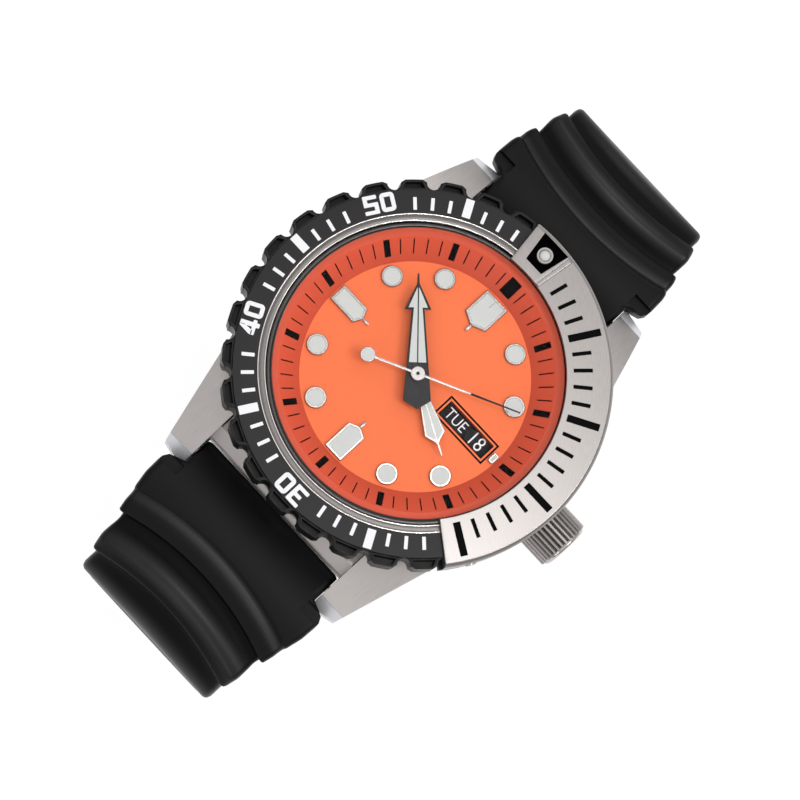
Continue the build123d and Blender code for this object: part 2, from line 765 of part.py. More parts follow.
# ---------------------------------------------------------------- motion works and calendar
with BuildPart() as cannon_pinion:
    toothed(origin, cannon_teeth, motion_module, minute_wheel_side, plate_top + thin_air,
            minute_teeth_level + wheel_thickness + 0.1)
    faceted(origin, minute_pipe_radius, 12, plate_top + thin_air, minute_level + hand_thickness)
    faceted(origin, centre_arbor_radius * cos(radians(22.5)), 8, plate_top + thin_air,
            minute_level + hand_thickness, mode=Mode.SUBTRACT)
finish(cannon_pinion, "cannon_pinion")

with BuildPart() as minute_wheel:
    toothed(minute_wheel_axis, minute_wheel_teeth, motion_module, minute_wheel_side + 180,
            minute_teeth_level, minute_teeth_level + wheel_thickness, True)
    toothed(minute_wheel_axis, minute_pinion_teeth, motion_module, minute_wheel_side + 180,
            minute_teeth_level + wheel_thickness, hour_teeth_level + wheel_thickness + 0.05)
    bore(minute_wheel_axis, stud_radius + running, minute_teeth_level, hour_teeth_level + 0.3)
finish(minute_wheel, "minute_wheel")

with BuildPart() as hour_wheel:
    toothed(origin, hour_wheel_teeth, motion_module, minute_wheel_side, hour_teeth_level,
            hour_teeth_level + wheel_thickness, True)
    faceted(origin, hour_pipe_radius, 12, hour_teeth_level, hour_level + hand_thickness)
    bore(origin, minute_pipe_radius + running, hour_teeth_level, hour_level + hand_thickness)
finish(hour_wheel, "hour_wheel")

day_radius = 8.45
date_outer = movement_radius - 0.75
with BuildPart() as day_disc:
    faceted(origin, day_radius, 28, disc_level, disc_level + disc_thickness)
    bore(origin, hour_pipe_radius + thin_air, disc_level, disc_level + disc_thickness)
finish(day_disc, "day_disc")

date_teeth = 31
with BuildPart() as date_disc:
    faceted(origin, date_outer, date_teeth, disc_level, disc_level + disc_thickness)
    with BuildSketch(Plane.XY.offset(disc_level)):
        with BuildLine():
            inner_teeth = []
            for tooth in range(date_teeth):
                inner_teeth.append(place(tooth * 360 / date_teeth, day_radius + 0.1))
                inner_teeth.append(place((tooth + 0.5) * 360 / date_teeth, day_radius + 0.7))
            Polyline(*inner_teeth, close=True)
        make_face()
    extrude(amount=disc_thickness, mode=Mode.SUBTRACT)
finish(date_disc, "date_disc")

# ---------------------------------------------------------------- winding rotor
bearing_radius = 1.0
rotor_thickness = 0.25
rotor_radius = 13.0
with BuildPart() as rotor:
    for inner, thickness in ((0, rotor_thickness), (rotor_radius - 2.0, 0.9)):
        with BuildSketch(Plane.XY.offset(rotor_top)):
            RegularPolygon(rotor_radius, 40)
            if inner:
                RegularPolygon(inner, 40, mode=Mode.SUBTRACT)
            Rectangle(2 * rotor_radius, rotor_radius, align=(Align.CENTER, Align.MIN), mode=Mode.SUBTRACT)
        extrude(amount=-thickness)
    faceted(origin, 2.4, 16, rotor_top - rotor_thickness, rotor_top)
    bore(origin, bearing_radius + running, rotor_top - rotor_thickness, rotor_top)
finish(rotor, "rotor")

with BuildPart() as rotor_bearing:
    faceted(origin, bearing_radius, 12, rotor_top - rotor_thickness - thin_air, bridge_bottom)
    faceted(origin, bearing_radius + 0.5, 12, rotor_top - rotor_thickness - 0.35,
            rotor_top - rotor_thickness - thin_air)
finish(rotor_bearing, "rotor_bearing")

# ---------------------------------------------------------------- spring bars
with BuildPart() as spring_bars:
    for side in (1, -1):
        with BuildSketch(Plane.YZ.offset(air - lug_gap / 2)) as body:
            with Locations((side * bar_reach, bar_level)):
                Circle(bar_radius)
        extrude(body.sketch, amount=lug_gap - 2 * air)
        with BuildSketch(Plane.YZ.offset(-lug_gap / 2 - 0.9)) as tips:
            with Locations((side * bar_reach, bar_level)):
                RegularPolygon(bar_tip_radius, 8)
        extrude(tips.sketch, amount=lug_gap + 1.8)
finish(spring_bars, "spring_bars")

# ---------------------------------------------------------------- strap
half_thick = strap_thickness / 2
strap_fall = 39.6             # dial axis to the middle of the strap where it hangs straight down
strap_fall_level = -5.6
strap_end_width = lug_gap - 0.6
shoulder_start = lug_reach + 0.5
upper_curls = ((22.0, 90),)   # radius and angle of each bend under the wrist
upper_run = 24.0              # straight run from there to the buckle
lower_curls = ((70.0, 20), (32.0, 70))
lower_run = 41.5
buckle_reach = strap_fall - upper_curls[0][0] - upper_run
buckle_level = strap_fall_level - upper_curls[0][0]
buckle_bar_radius = 0.75


def strap_outline(curls, run):
    """Side view of a strap half: bar end, fall, curls and straight run, round at both ends."""
    with BuildSketch(Plane.YZ) as side_view:
        with BuildLine():
            bend = JernArc((strap_fall, strap_fall_level), (0, 1), 8, 62)
            TangentArc(bend @ 1, (bar_reach, bar_level), tangent=bend % 1)
            tip = Vector(strap_fall, strap_fall_level)
            heading = Vector(0, -1)
            for radius, angle in curls:
                turn = JernArc(tip, heading, radius, -angle)
                tip = turn @ 1
                heading = turn % 1
            Line(tip, tip - Vector(run, 0))
            offset(amount=half_thick)
        make_face()
    return side_view.sketch


def strap_half(curls, run):
    """Strap half on the 12 o'clock side, tapered in plan, bored for its spring bar."""
    extrude(strap_outline(curls, run), amount=strap_shoulder_width / 2, both=True)
    # plan: narrow between the lugs, wide shoulders, then a taper down to the tail's width
    half_end = strap_end_width / 2
    half_shoulder = strap_shoulder_width / 2
    half_tail = strap_tail_width / 2
    reach = strap_fall + strap_thickness
    with BuildSketch(Plane.XY.offset(strap_fall_level)) as upper_plan:
        with BuildLine():
            Polyline(
                (0, bar_reach - 3), (half_end, bar_reach - 3), (half_end, shoulder_start),
                (half_shoulder, shoulder_start), (half_shoulder, shoulder_start + 3.0),
                (half_tail, reach), (0, reach), close=True,
            )
        make_face()
        mirror(about=Plane.YZ)
    with BuildSketch(Plane.XY.offset(strap_fall_level)) as lower_plan:
        Rectangle(strap_tail_width, 4 * strap_fall)
    keep_upper = extrude(upper_plan.sketch, amount=20, mode=Mode.PRIVATE)
    keep_lower = extrude(lower_plan.sketch, amount=-2 * strap_fall, mode=Mode.PRIVATE)
    add(keep_upper + keep_lower, mode=Mode.INTERSECT)
    with BuildSketch(Plane.YZ.offset(-half_shoulder)) as eye:
        with Locations((bar_reach, bar_level)):
            RegularPolygon(bar_radius + running, 12, major_radius=False)
    extrude(eye.sketch, amount=strap_shoulder_width, mode=Mode.SUBTRACT)


tongue_slot = 3.0
with BuildPart() as strap_upper:
    strap_half(upper_curls, upper_run)
    # eye for the buckle bar and the slot for the tongue
    with BuildSketch(Plane.YZ.offset(-strap_tail_width / 2)):
        with Locations((buckle_reach, buckle_level)):
            Circle(buckle_bar_radius + running)
    extrude(amount=strap_tail_width, mode=Mode.SUBTRACT)
    with BuildSketch(Plane.XY.offset(buckle_level - strap_thickness)):
        with Locations((0, buckle_reach - 1)):
            Rectangle(tongue_slot, 7.5)
    extrude(amount=2 * strap_thickness, mode=Mode.SUBTRACT)
finish(strap_upper, "strap_upper")

tail_slots = 7
tail_slot_pitch = 4.6
tail_slot_width = 2.2         # clears the tongue
tail_slot_length = 3.0
with BuildPart() as strap_lower:
    strap_half(lower_curls, lower_run)
    # row of slots for the tongue, down to the tail's round end
    tail_end = strap_lower.part.bounding_box().min
    last_slot = tail_end.Y + strap_thickness + tail_slot_pitch
    with BuildSketch(Plane.XY.offset(tail_end.Z)):
        for slot in range(tail_slots):
            with Locations((0, last_slot + slot * tail_slot_pitch)):
                Rectangle(tail_slot_width, tail_slot_length)
    extrude(amount=strap_thickness, mode=Mode.SUBTRACT)
    mirror(about=Plane.XZ, mode=Mode.REPLACE)
finish(strap_lower, "strap_lower")

# ---------------------------------------------------------------- buckle
frame_wall = 2.0
frame_length = 10.5           # buckle bar to the outer edge of the crossbar
frame_half = strap_tail_width / 2 + 0.4
frame_thickness = 2.0
with BuildPart() as buckle_frame:
    with BuildSketch(Plane.XY.offset(buckle_level - frame_thickness / 2)):
        with Locations((0, buckle_reach + 1.6)):
            Rectangle(2 * (frame_half + frame_wall), frame_length + 1.6, align=(Align.CENTER, Align.MAX))
        with Locations((0, buckle_reach + 2.0)):
            Rectangle(2 * frame_half, frame_length - frame_wall + 2.0, align=(Align.CENTER, Align.MAX),
                      mode=Mode.SUBTRACT)
    extrude(amount=frame_thickness)
    corners = edges().filter_by(Axis.Z).sort_by(Axis.Y)[0:2]
    fillet(corners, radius=1.8)
    with BuildSketch(Plane.YZ):
        with Locations((buckle_reach, buckle_level)):
            Circle(buckle_bar_radius + running)
    extrude(amount=frame_half + frame_wall - 0.5, both=True, mode=Mode.SUBTRACT)
    # notch that takes the tongue's tip
    with BuildSketch(Plane.XY.offset(buckle_level + frame_thickness / 2 - 0.5)):
        with Locations((0, buckle_reach - frame_length)):
            Rectangle(2.2, 2 * frame_wall + 1)
    extrude(amount=1, mode=Mode.SUBTRACT)
finish(buckle_frame, "buckle_frame")

with BuildPart() as buckle_bar:
    with BuildSketch(Plane.YZ):
        with Locations((buckle_reach, buckle_level)):
            Circle(buckle_bar_radius)
    extrude(amount=frame_half + frame_wall - 0.7, both=True)
finish(buckle_bar, "buckle_bar")

with BuildPart() as buckle_tongue:
    with BuildSketch(Plane.YZ):
        with BuildLine():
            Polyline(
                (buckle_reach, buckle_level + 1.45), (buckle_reach - 4, buckle_level + 1.4),
                (buckle_reach - frame_length + 0.6, buckle_level + frame_thickness / 2 + 0.5),
                (buckle_reach - frame_length + 0.6, buckle_level + frame_thickness / 2 - 0.3),
                (buckle_reach - 4, buckle_level + 0.2), (buckle_reach, buckle_level), close=True,
            )
        make_face()
        with Locations((buckle_reach, buckle_level)):
            Circle(1.45)
            Circle(buckle_bar_radius + running, mode=Mode.SUBTRACT)
    extrude(amount=0.85, both=True)
finish(buckle_tongue, "buckle_tongue")

# ---------------------------------------------------------------- keepers
keeper_wall = 1.3
keeper_room = strap_thickness + 0.8   # free height for the tail


def keeper(middle, gap, width):
    """Loop round the strap, open on its outer side for the tail."""
    half_inner = strap_tail_width / 2 + gap
    top_inner = buckle_level + half_thick + gap
    bottom_inner = buckle_level - half_thick - keeper_room
    plane = Plane((0, middle - width / 2, 0), x_dir=(1, 0, 0), z_dir=(0, 1, 0))
    with BuildSketch(plane) as loop:
        with Locations((0, -(top_inner + bottom_inner) / 2)):
            Rectangle(2 * (half_inner + keeper_wall), top_inner - bottom_inner + 2 * keeper_wall)
            Rectangle(2 * half_inner, top_inner - bottom_inner, mode=Mode.SUBTRACT)
    extrude(loop.sketch, amount=width)


with BuildPart() as keeper_fixed:
    keeper(buckle_reach + 7.0, 0.0, 4.0)
finish(keeper_fixed, "keeper_fixed")

with BuildPart() as keeper_loose:
    keeper(buckle_reach + 15.5, 0.2, 5.0)
finish(keeper_loose, "keeper_loose")
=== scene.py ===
from math import atan2, cos, pi, radians, sin, sqrt, tan

import bmesh
import bpy
from bpy.props import FloatProperty, FloatVectorProperty, IntProperty, PointerProperty
from mathutils import Matrix, Vector


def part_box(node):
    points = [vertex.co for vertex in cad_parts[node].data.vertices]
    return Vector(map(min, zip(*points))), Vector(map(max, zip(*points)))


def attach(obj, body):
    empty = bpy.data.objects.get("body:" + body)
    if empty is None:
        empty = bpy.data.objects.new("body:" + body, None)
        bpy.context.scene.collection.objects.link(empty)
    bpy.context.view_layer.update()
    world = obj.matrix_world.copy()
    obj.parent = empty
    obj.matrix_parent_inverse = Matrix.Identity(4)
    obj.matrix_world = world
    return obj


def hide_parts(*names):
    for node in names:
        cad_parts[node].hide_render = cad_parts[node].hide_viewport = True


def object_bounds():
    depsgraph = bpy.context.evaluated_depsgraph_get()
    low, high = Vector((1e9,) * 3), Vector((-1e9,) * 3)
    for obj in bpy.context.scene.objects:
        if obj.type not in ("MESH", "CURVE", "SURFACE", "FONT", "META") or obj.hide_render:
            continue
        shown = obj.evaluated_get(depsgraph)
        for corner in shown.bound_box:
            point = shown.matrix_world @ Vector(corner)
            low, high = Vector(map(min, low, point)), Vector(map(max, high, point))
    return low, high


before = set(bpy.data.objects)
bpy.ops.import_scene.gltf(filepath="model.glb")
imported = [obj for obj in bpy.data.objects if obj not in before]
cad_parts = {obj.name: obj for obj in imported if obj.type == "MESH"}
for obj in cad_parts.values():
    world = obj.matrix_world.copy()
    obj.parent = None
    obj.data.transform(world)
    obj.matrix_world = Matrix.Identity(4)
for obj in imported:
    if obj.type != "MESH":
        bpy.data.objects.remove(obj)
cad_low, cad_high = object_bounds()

bl_info = {
    "name": "Dive Watch",
    "version": (1, 0, 0),
    "blender": (4, 5, 0),
    "location": "View3D > Sidebar > Watch",
    "description": "Detailed pieces and finishes of a dive watch, built on its CAD frame",
    "category": "Object",
}

MM = 0.001


def low(node):
    """Lowest corner of a CAD node, in millimetres."""
    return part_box(node)[0] / MM


def high(node):
    """Highest corner of a CAD node, in millimetres."""
    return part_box(node)[1] / MM


# ------------------------------------------------------------------ sizes and colours
class WatchSizes(bpy.types.PropertyGroup):
    """Sizes of the detail that the CAD frame leaves open."""

    edge: FloatProperty(
        name="Edge break", description="Width of the bevel on machined edges",
        default=0.00009, min=0.00002, max=0.0004, unit="LENGTH",
    )
    marker_rim: FloatProperty(
        name="Marker rim", description="Width of the metal round each luminous hour marker",
        default=0.0002, min=0.00005, max=0.0004, unit="LENGTH",
    )
    numeral_height: FloatProperty(
        name="Numeral height", description="Height of the numerals on the bezel",
        default=0.00225, min=0.001, max=0.003, unit="LENGTH",
    )
    crown_flutes: IntProperty(
        name="Crown flutes", description="Number of grooves round the crown",
        default=34, min=12, max=60,
    )
    band_depth: FloatProperty(
        name="Band depth", description="Depth of the valleys between the strap's bands",
        default=0.0016, min=0.0, max=0.002, unit="LENGTH",
    )
    band_bow: FloatProperty(
        name="Band bow", description="How far the bands' edges trail their middle",
        default=0.0019, min=0.0, max=0.004, unit="LENGTH",
    )


def colour_property(name, description, shade):
    """Colour of the sidebar, given as display values of 0 to 255."""
    linear = [((v / 255 + 0.055) / 1.055) ** 2.4 if v > 10 else v / 255 / 12.92 for v in shade]
    return FloatVectorProperty(
        name=name, description=description, subtype="COLOR", size=3, min=0, max=1, default=linear
    )


class WatchColours(bpy.types.PropertyGroup):
    """Colours of the watch's main finishes."""

    dial: colour_property("Dial", "Lacquer of the dial", (255, 121, 70))
    chapter: colour_property("Chapter ring", "Sloped minute ring round the dial", (222, 87, 58))
    bezel: colour_property("Bezel", "Coating of the rotating bezel", (35, 33, 33))
    white: colour_property("Bezel print", "Marks and numerals of the bezel", (245, 245, 248))
    black: colour_property("Black print", "Printed and filled black marks", (26, 25, 28))
    lume: colour_property("Lume", "Luminous paint of the markers and hands", (214, 214, 214))
    rubber: colour_property("Rubber", "Strap and keepers", (14, 13, 15))
    steel: colour_property("Steel", "Case, sector, crown and buckle", (200, 194, 191))


# ------------------------------------------------------------------ shader building
class Value:
    """Output of a node that takes plain arithmetic."""

    def __init__(self, tree, socket):
        self.tree = tree
        self.socket = socket

    def math(self, operation, first, second=0.0):
        node = self.tree.nodes.new("ShaderNodeMath")
        node.operation = operation
        for socket, value in zip(node.inputs, (first, second)):
            feed(self.tree, socket, value)
        return Value(self.tree, node.outputs[0])

    def __add__(self, other):
        return self.math("ADD", self, other)

    __radd__ = __add__

    def __sub__(self, other):
        return self.math("SUBTRACT", self, other)

    def __rsub__(self, other):
        return self.math("SUBTRACT", other, self)

    def __mul__(self, other):
        return self.math("MULTIPLY", self, other)

    __rmul__ = __mul__

    def __truediv__(self, other):
        return self.math("DIVIDE", self, other)

    def __abs__(self):
        return self.math("ABSOLUTE", self)

    def __lt__(self, other):
        return self.math("LESS_THAN", self, other)

    def __gt__(self, other):
        return self.math("GREATER_THAN", self, other)


def feed(tree, socket, value):
    """Link a value to a socket, or set the socket."""
    if isinstance(value, Value):
        tree.links.new(value.socket, socket)
    else:
        socket.default_value = value


class Nodes:
    """A node tree being filled."""

    def __init__(self, tree):
        self.tree = tree

    def node(self, kind, settings=None, sockets=None, output=0):
        """New node: its settings first, then its sockets' values or links."""
        node = self.tree.nodes.new(kind)
        for name, value in (settings or {}).items():
            setattr(node, name, value)
        for name, value in (sockets or {}).items():
            feed(self.tree, node.inputs[name], value)
        return Value(self.tree, node.outputs[output])


class Finish(Nodes):
    """A material being made; its patterns read Object coordinates."""

    def __init__(self, name, colour, roughness, fixed=None):
        self.material = bpy.data.materials.new(f"watch_{name}")
        self.material.use_nodes = True
        super().__init__(self.material.node_tree)
        self.shader = self.tree.nodes["Principled BSDF"]
        self.colour = tuple(colour)
        self.put("Base Color", (*self.colour, 1.0))
        self.put("Roughness", roughness)
        for socket, value in (fixed or {}).items():
            self.put(socket, value)
        self.place = self.node("ShaderNodeTexCoord", output="Object")

    def put(self, name, value):
        """Set or link one of the shader's own sockets."""
        feed(self.tree, self.shader.inputs[name], value)

    def along(self, axis):
        """Object coordinate along X, Y or Z, in millimetres."""
        return self.node("ShaderNodeSeparateXYZ", sockets={"Vector": self.place}, output=axis) / MM

    def radius(self):
        """Distance from the dial axis, in millimetres."""
        flat = self.node(
            "ShaderNodeVectorMath", {"operation": "MULTIPLY"}, {0: self.place, 1: (1, 1, 0)}
        )
        return self.node(
            "ShaderNodeVectorMath", {"operation": "LENGTH"}, {0: flat}, output="Value"
        ) / MM

    def noise(self, grain, stretch=(1, 1, 1), turn=(0, 0, 0), detail=2.0, source=None):
        """Noise with a grain in millimetres, drawn out along the axes."""
        spread = self.node(
            "ShaderNodeMapping", {"vector_type": "TEXTURE"},
            {
                "Vector": source or self.place,
                "Rotation": turn,
                "Scale": tuple(grain * MM * factor for factor in stretch),
            },
        )
        return self.node(
            "ShaderNodeTexNoise", sockets={"Vector": spread, "Scale": 1.0, "Detail": detail}
        )

    def rings(self, pitch):
        """Fine circular lines about the dial axis."""
        return self.node(
            "ShaderNodeTexNoise", {"noise_dimensions": "1D"},
            {"W": self.radius() / pitch, "Scale": 1.0, "Detail": 2.0},
        )

    def mixed(self, mask, first, second):
        """Colour between two colours."""
        ends = [c if isinstance(c, Value) else (*c, 1.0) for c in (first, second)]
        return self.node(
            "ShaderNodeMix", {"data_type": "RGBA"}, {0: mask, 6: ends[0], 7: ends[1]}, output=2
        )

    def mottled(self, mask, darkest, lightest):
        """Vary the base colour between two strengths of itself."""
        first = [c * darkest for c in self.colour]
        second = [min(1.0, c * lightest) for c in self.colour]
        self.put("Base Color", self.mixed(mask, first, second))

    def relief(self, height, depth, strength=1.0):
        """Bump of a depth in millimetres."""
        bump = self.node(
            "ShaderNodeBump",
            sockets={"Height": height, "Distance": depth * MM, "Strength": strength},
        )
        self.put("Normal", bump)

    def blend(self, factor, other):
        """Show another shader in place of the Principled one, by a factor."""
        paint = Value(self.tree, self.shader.outputs[0])
        both = self.node("ShaderNodeMixShader", sockets={0: factor, 1: paint, 2: other})
        feed(self.tree, self.tree.nodes["Material Output"].inputs["Surface"], both)


METAL = {"Metallic": 1.0}
# Finishes with one grain: colour (of the sidebar, or given) and its strength; roughness and what
# the grain adds to it; darkest and lightest tone; grain, as a noise's size, stretch and turn or
# as the pitch of rings; relief, as a depth and its strength; the shader's other settings
GRAINED = {
    "back_metal": ("steel", 1, 0.2, 0.16, 0.84, 1.08, 0.11, (0.006, 0.5), METAL),
    "crown_metal": ("steel", 0.7, 0.44, 0.08, 0.9, 1.08, (0.9, (1, 3, 3)), None, METAL),
    "wall_metal": ("steel", 1.3, 0.4, 0, 0.94, 1.04, (0.08,), (0.004, 0.4), {"Metallic": 0.4}),
    # the bright rim rings' steel is made half again as bright: a painted highlight
    "edge_metal": ("steel", 1.5, 0.16, 0, 0.92, 1.08, (2.0,), None, METAL),
    "dark_ring": ("steel", 0.12, 0.2, 0.1, 0.8, 1.2, 0.05, None, METAL),
    "ring_metal": ("steel", 0.29, 0.26, 0.1, 0.94, 1.04, 0.05, (0.003, 0.4), METAL),
    "grip_coating": (
        "bezel", 0.35, 0.34, 0.1, 0.8, 1.2, (3,), None, {"Specular IOR Level": 0.25},
    ),
    "white_print": ("white", 1, 0.42, 0, 0.95, 1.03, (0.12,), (0.006, 0.4), {}),
    "black_print": (
        "black", 0.2, 0.5, 0, 0.75, 1.3, (0.15,), (0.006, 0.4), {"Specular IOR Level": 0.04},
    ),
    "frame_silver": (
        "steel", 0.74, 0.2, 0.08, 0.9, 1.06, (0.3, (1, 6, 3), (0, 0, 0.3)), None, METAL,
    ),
    "hand_black": (
        "black", 1.3, 0.3, 0.14, 0.8, 1.25, (0.08, (1, 6, 1), (0, 0, 0.8)), None,
        {"Specular IOR Level": 0.3},
    ),
    "gasket_rubber": ("rubber", 0.6, 0.5, 0, 0.7, 1.3, (0.1,), (0.01, 0.5), {}),
    "disc_black": ("black", 1, 0.55, 0, 0.75, 1.25, (0.12,), None, {"Specular IOR Level": 0.2}),
    "holder_plastic": ((0.12, 0.12, 0.13), 1, 0.5, 0, 0.85, 1.15, (0.2,), (0.01, 0.5), {}),
    "wheel_brass": ((0.72, 0.5, 0.2), 1, 0.22, 0.14, 0.85, 1.1, (0.06, (1, 10, 1)), None, METAL),
    "arbor_steel": ((0.5, 0.5, 0.52), 1, 0.14, 0.14, 0.88, 1.1, (0.05, (20, 1, 1)), None, METAL),
    "rotor_metal": ((0.55, 0.54, 0.52), 1, 0.2, 0.16, 0.82, 1.1, 0.16, None, METAL),
}


def grained(name, colours):
    """Finish whose one grain varies its tone, its roughness and its relief."""
    colour, strength, roughness, gain, darkest, lightest, size, relief, fixed = GRAINED[name]
    shade = getattr(colours, colour) if isinstance(colour, str) else colour
    finish = Finish(name, [c * strength for c in shade], roughness, fixed)
    grain = finish.noise(*size) if isinstance(size, tuple) else finish.rings(size)
    finish.mottled(grain, darkest, lightest)
    if gain:
        finish.put("Roughness", roughness + grain * gain)
    if relief:
        finish.relief(grain, *relief)
    return finish


def case_metal(colours):
    """Steel brushed along the strap, polished between the lugs, with a painted highlight on the
    lugs' end faces.
    """
    lug_inside, lug_end, shoulder = 11.03, 24.33, 0.95
    finish = Finish("case_metal", colours.steel, 0.34, METAL)
    lines = finish.noise(0.09, (1, 26, 26), detail=3)
    drift = finish.noise(9)
    across = abs(finish.along("X"))
    brushed = 1 - (across < lug_inside) * (finish.along("Z") > shoulder)
    # painted highlight: the lugs' end faces are made paler and less metallic
    tip = (abs(finish.along("Y")) > lug_end) * (across > lug_inside)
    steel = finish.mixed(
        lines * brushed * 0.75 + drift * 0.25, [c * 0.68 for c in finish.colour],
        [c * 1.06 for c in finish.colour],
    )
    finish.put("Base Color", finish.mixed(tip, steel, (0.84, 0.84, 0.88)))
    finish.put("Metallic", 1 - tip * 0.6)
    finish.put("Roughness", 0.13 + brushed * (0.2 + lines * 0.12) + drift * 0.03)
    finish.relief(lines * brushed, 0.006, 0.6)
    return finish


def sector_metal(colours):
    """Pale satin steel with a circular grain."""
    finish = Finish("sector_metal", [c * 0.62 for c in colours.steel], 0.3, METAL)
    grain = finish.rings(0.07)
    cross = finish.noise(0.07, (1, 14, 4), (0, 0, 0.8), detail=3)
    both = grain * 0.3 + cross * 0.7
    finish.mottled(both, 0.72, 1.2)
    finish.put("Roughness", 0.24 + grain * 0.05 + cross * 0.08)
    finish.relief(both, 0.005, 0.6)
    return finish


def polished_metal(colours):
    """Polished steel with faint hairlines."""
    finish = Finish("polished_metal", colours.steel, 0.12, METAL)
    hairs = finish.noise(0.05, (1, 40, 12), (0, 0, 0.5))
    finish.mottled(finish.noise(4), 0.93, 1.05)
    finish.put("Roughness", 0.08 + hairs * 0.1)
    finish.relief(hairs, 0.002, 0.3)
    return finish


def bezel_coating(colours):
    """Hard black coating over turned metal."""
    finish = Finish("bezel_coating", colours.bezel, 0.4, {"Metallic": 0.5})
    grain = finish.rings(0.08)
    cloud = finish.noise(3)
    finish.mottled(grain * 0.5 + cloud * 0.5, 0.82, 1.2)
    finish.put("Roughness", 0.33 + grain * 0.1 + cloud * 0.06)
    finish.relief(grain, 0.004, 0.5)
    return finish


def dial_lacquer(colours):
    """Orange lacquer with a fine tooth and a slow drift of tone."""
    finish = Finish("dial_lacquer", colours.dial, 0.46, {"Specular IOR Level": 0.25})
    tooth = finish.noise(0.16, detail=4)
    drift = finish.noise(11)
    finish.mottled(tooth * 0.35 + drift * 0.65, 0.93, 1.06)
    finish.put("Roughness", 0.4 + tooth * 0.1)
    finish.relief(tooth, 0.004, 0.35)
    return finish


def chapter_lacquer(colours):
    """Deeper orange of the sloped ring, darkening to its foot."""
    foot, width = 13.35, 2.5
    finish = Finish("chapter_lacquer", colours.chapter, 0.42, {"Specular IOR Level": 0.25})
    tooth = finish.noise(0.16, detail=3)
    rise = (finish.radius() - foot) / width
    finish.mottled(rise * 0.6 + tooth * 0.3, 0.82, 1.08)
    finish.relief(tooth, 0.004, 0.35)
    return finish


def glow_paint(colours):
    """Luminous paint, matt and granular, a little greener in its hollows."""
    finish = Finish("glow_paint", colours.lume, 0.62)
    grain = finish.noise(0.1, detail=4)
    hollow = [c * t for c, t in zip(finish.colour, (0.9, 0.95, 0.9))]
    finish.put("Base Color", finish.mixed(grain, hollow, finish.colour))
    finish.relief(grain, 0.015, 0.5)
    return finish


def strap_rubber(colours):
    """Moulded rubber with a fine grain; its coat's weight paints a sheen on the crests and paints
    shade into the valleys.
    """
    gloss = {"Specular IOR Level": 0.08, "Coat Roughness": 0.36}
    finish = Finish("strap_rubber", colours.rubber, 0.45, gloss)
    worn = finish.node("ShaderNodeAttribute", {"attribute_name": "worn"}, output="Fac")
    grain = finish.noise(0.2, detail=4)
    bloom = finish.noise(7, detail=3)
    finish.mottled(grain * 0.4 + bloom * 0.6, 0.7, 1.3)
    finish.put("Roughness", 0.4 + grain * 0.1 + bloom * 0.06)
    # painted highlight on the strap's crests and painted shade in its valleys, through the coat's
    # weight
    finish.put("Coat Weight", 0.13 + worn * (0.35 + bloom * 0.5 + grain * 0.3))
    finish.relief(grain, 0.03, 0.5)
    return finish


def crystal_glass(colours):
    """Mineral glass that lets the lamps through to the dial."""
    finish = Finish("crystal_glass", (1, 1, 1), 0.0, {"IOR": 1.12, "Transmission Weight": 1.0})
    finish.put("Roughness", finish.noise(6) * 0.012)
    lamp_ray = finish.node("ShaderNodeLightPath", output="Is Shadow Ray")
    finish.blend(lamp_ray, finish.node("ShaderNodeBsdfTransparent"))
    return finish


def plate_nickel(colours):
    """Nickel main plate with overlapping round graining."""
    finish = Finish("plate_nickel", (0.56, 0.54, 0.5), 0.3, METAL)
    cells = finish.node(
        "ShaderNodeTexVoronoi", {"feature": "F1"}, {"Vector": finish.place, "Scale": 900.0}
    )
    swirl = cells * 40 - cells.math("FLOOR", cells * 40)
    finish.mottled(swirl, 0.84, 1.1)
    finish.put("Roughness", 0.24 + swirl * 0.14)
    return finish


def bridge_nickel(colours):
    """Nickel bridges with broad straight stripes."""
    finish = Finish("bridge_nickel", (0.6, 0.58, 0.54), 0.28, METAL)
    stripes = finish.node(
        "ShaderNodeTexWave", {"wave_type": "BANDS", "bands_direction": "DIAGONAL"},
        {"Vector": finish.place, "Scale": 150.0, "Distortion": 0.0},
    )
    fine = finish.noise(0.06, (1, 20, 1), (0, 0, 0.8))
    finish.mottled(stripes * 0.6 + fine * 0.4, 0.82, 1.12)
    finish.put("Roughness", 0.2 + stripes * 0.12 + fine * 0.06)
    return finish


def spring_steel(colours):
    """Blue-tempered steel of the springs."""
    finish = Finish("spring_steel", (0.16, 0.2, 0.42), 0.24, METAL)
    tint = finish.noise(1.2)
    finish.put("Base Color", finish.mixed(tint, (0.1, 0.16, 0.42), (0.24, 0.22, 0.36)))
    finish.put("Roughness", 0.18 + tint * 0.1)
    return finish


SPECIAL = {
    maker.__name__: maker
    for maker in (
        case_metal, sector_metal, polished_metal, bezel_coating, dial_lacquer, chapter_lacquer,
        glow_paint, strap_rubber, crystal_glass, plate_nickel, bridge_nickel, spring_steel,
    )
}


def made(name):
    """The material of a name, made once."""
    ready = bpy.data.materials.get(f"watch_{name}")
    if ready:
        return ready
    colours = bpy.context.scene.watch_colours
    return (SPECIAL[name](colours) if name in SPECIAL else grained(name, colours)).material


# ------------------------------------------------------------------ shape building
def cleaned(bm):
    """Merge doubles, then turn every face outwards."""
    bmesh.ops.remove_doubles(bm, verts=bm.verts, dist=1e-4)
    bmesh.ops.recalc_face_normals(bm, faces=bm.faces)
    return bm


def polar(radius, angle):
    """Point at a clockwise angle from 12 o'clock."""
    return radius * sin(radians(angle)), radius * cos(radians(angle))


def spun(bm, angle, steps, **how):
    """Spin everything in a bmesh clockwise about the dial axis."""
    bmesh.ops.spin(
        bm, geom=bm.verts[:] + bm.edges[:] + bm.faces[:], cent=(0, 0, 0), axis=(0, 0, -1),
        angle=radians(angle), steps=steps, **how,
    )


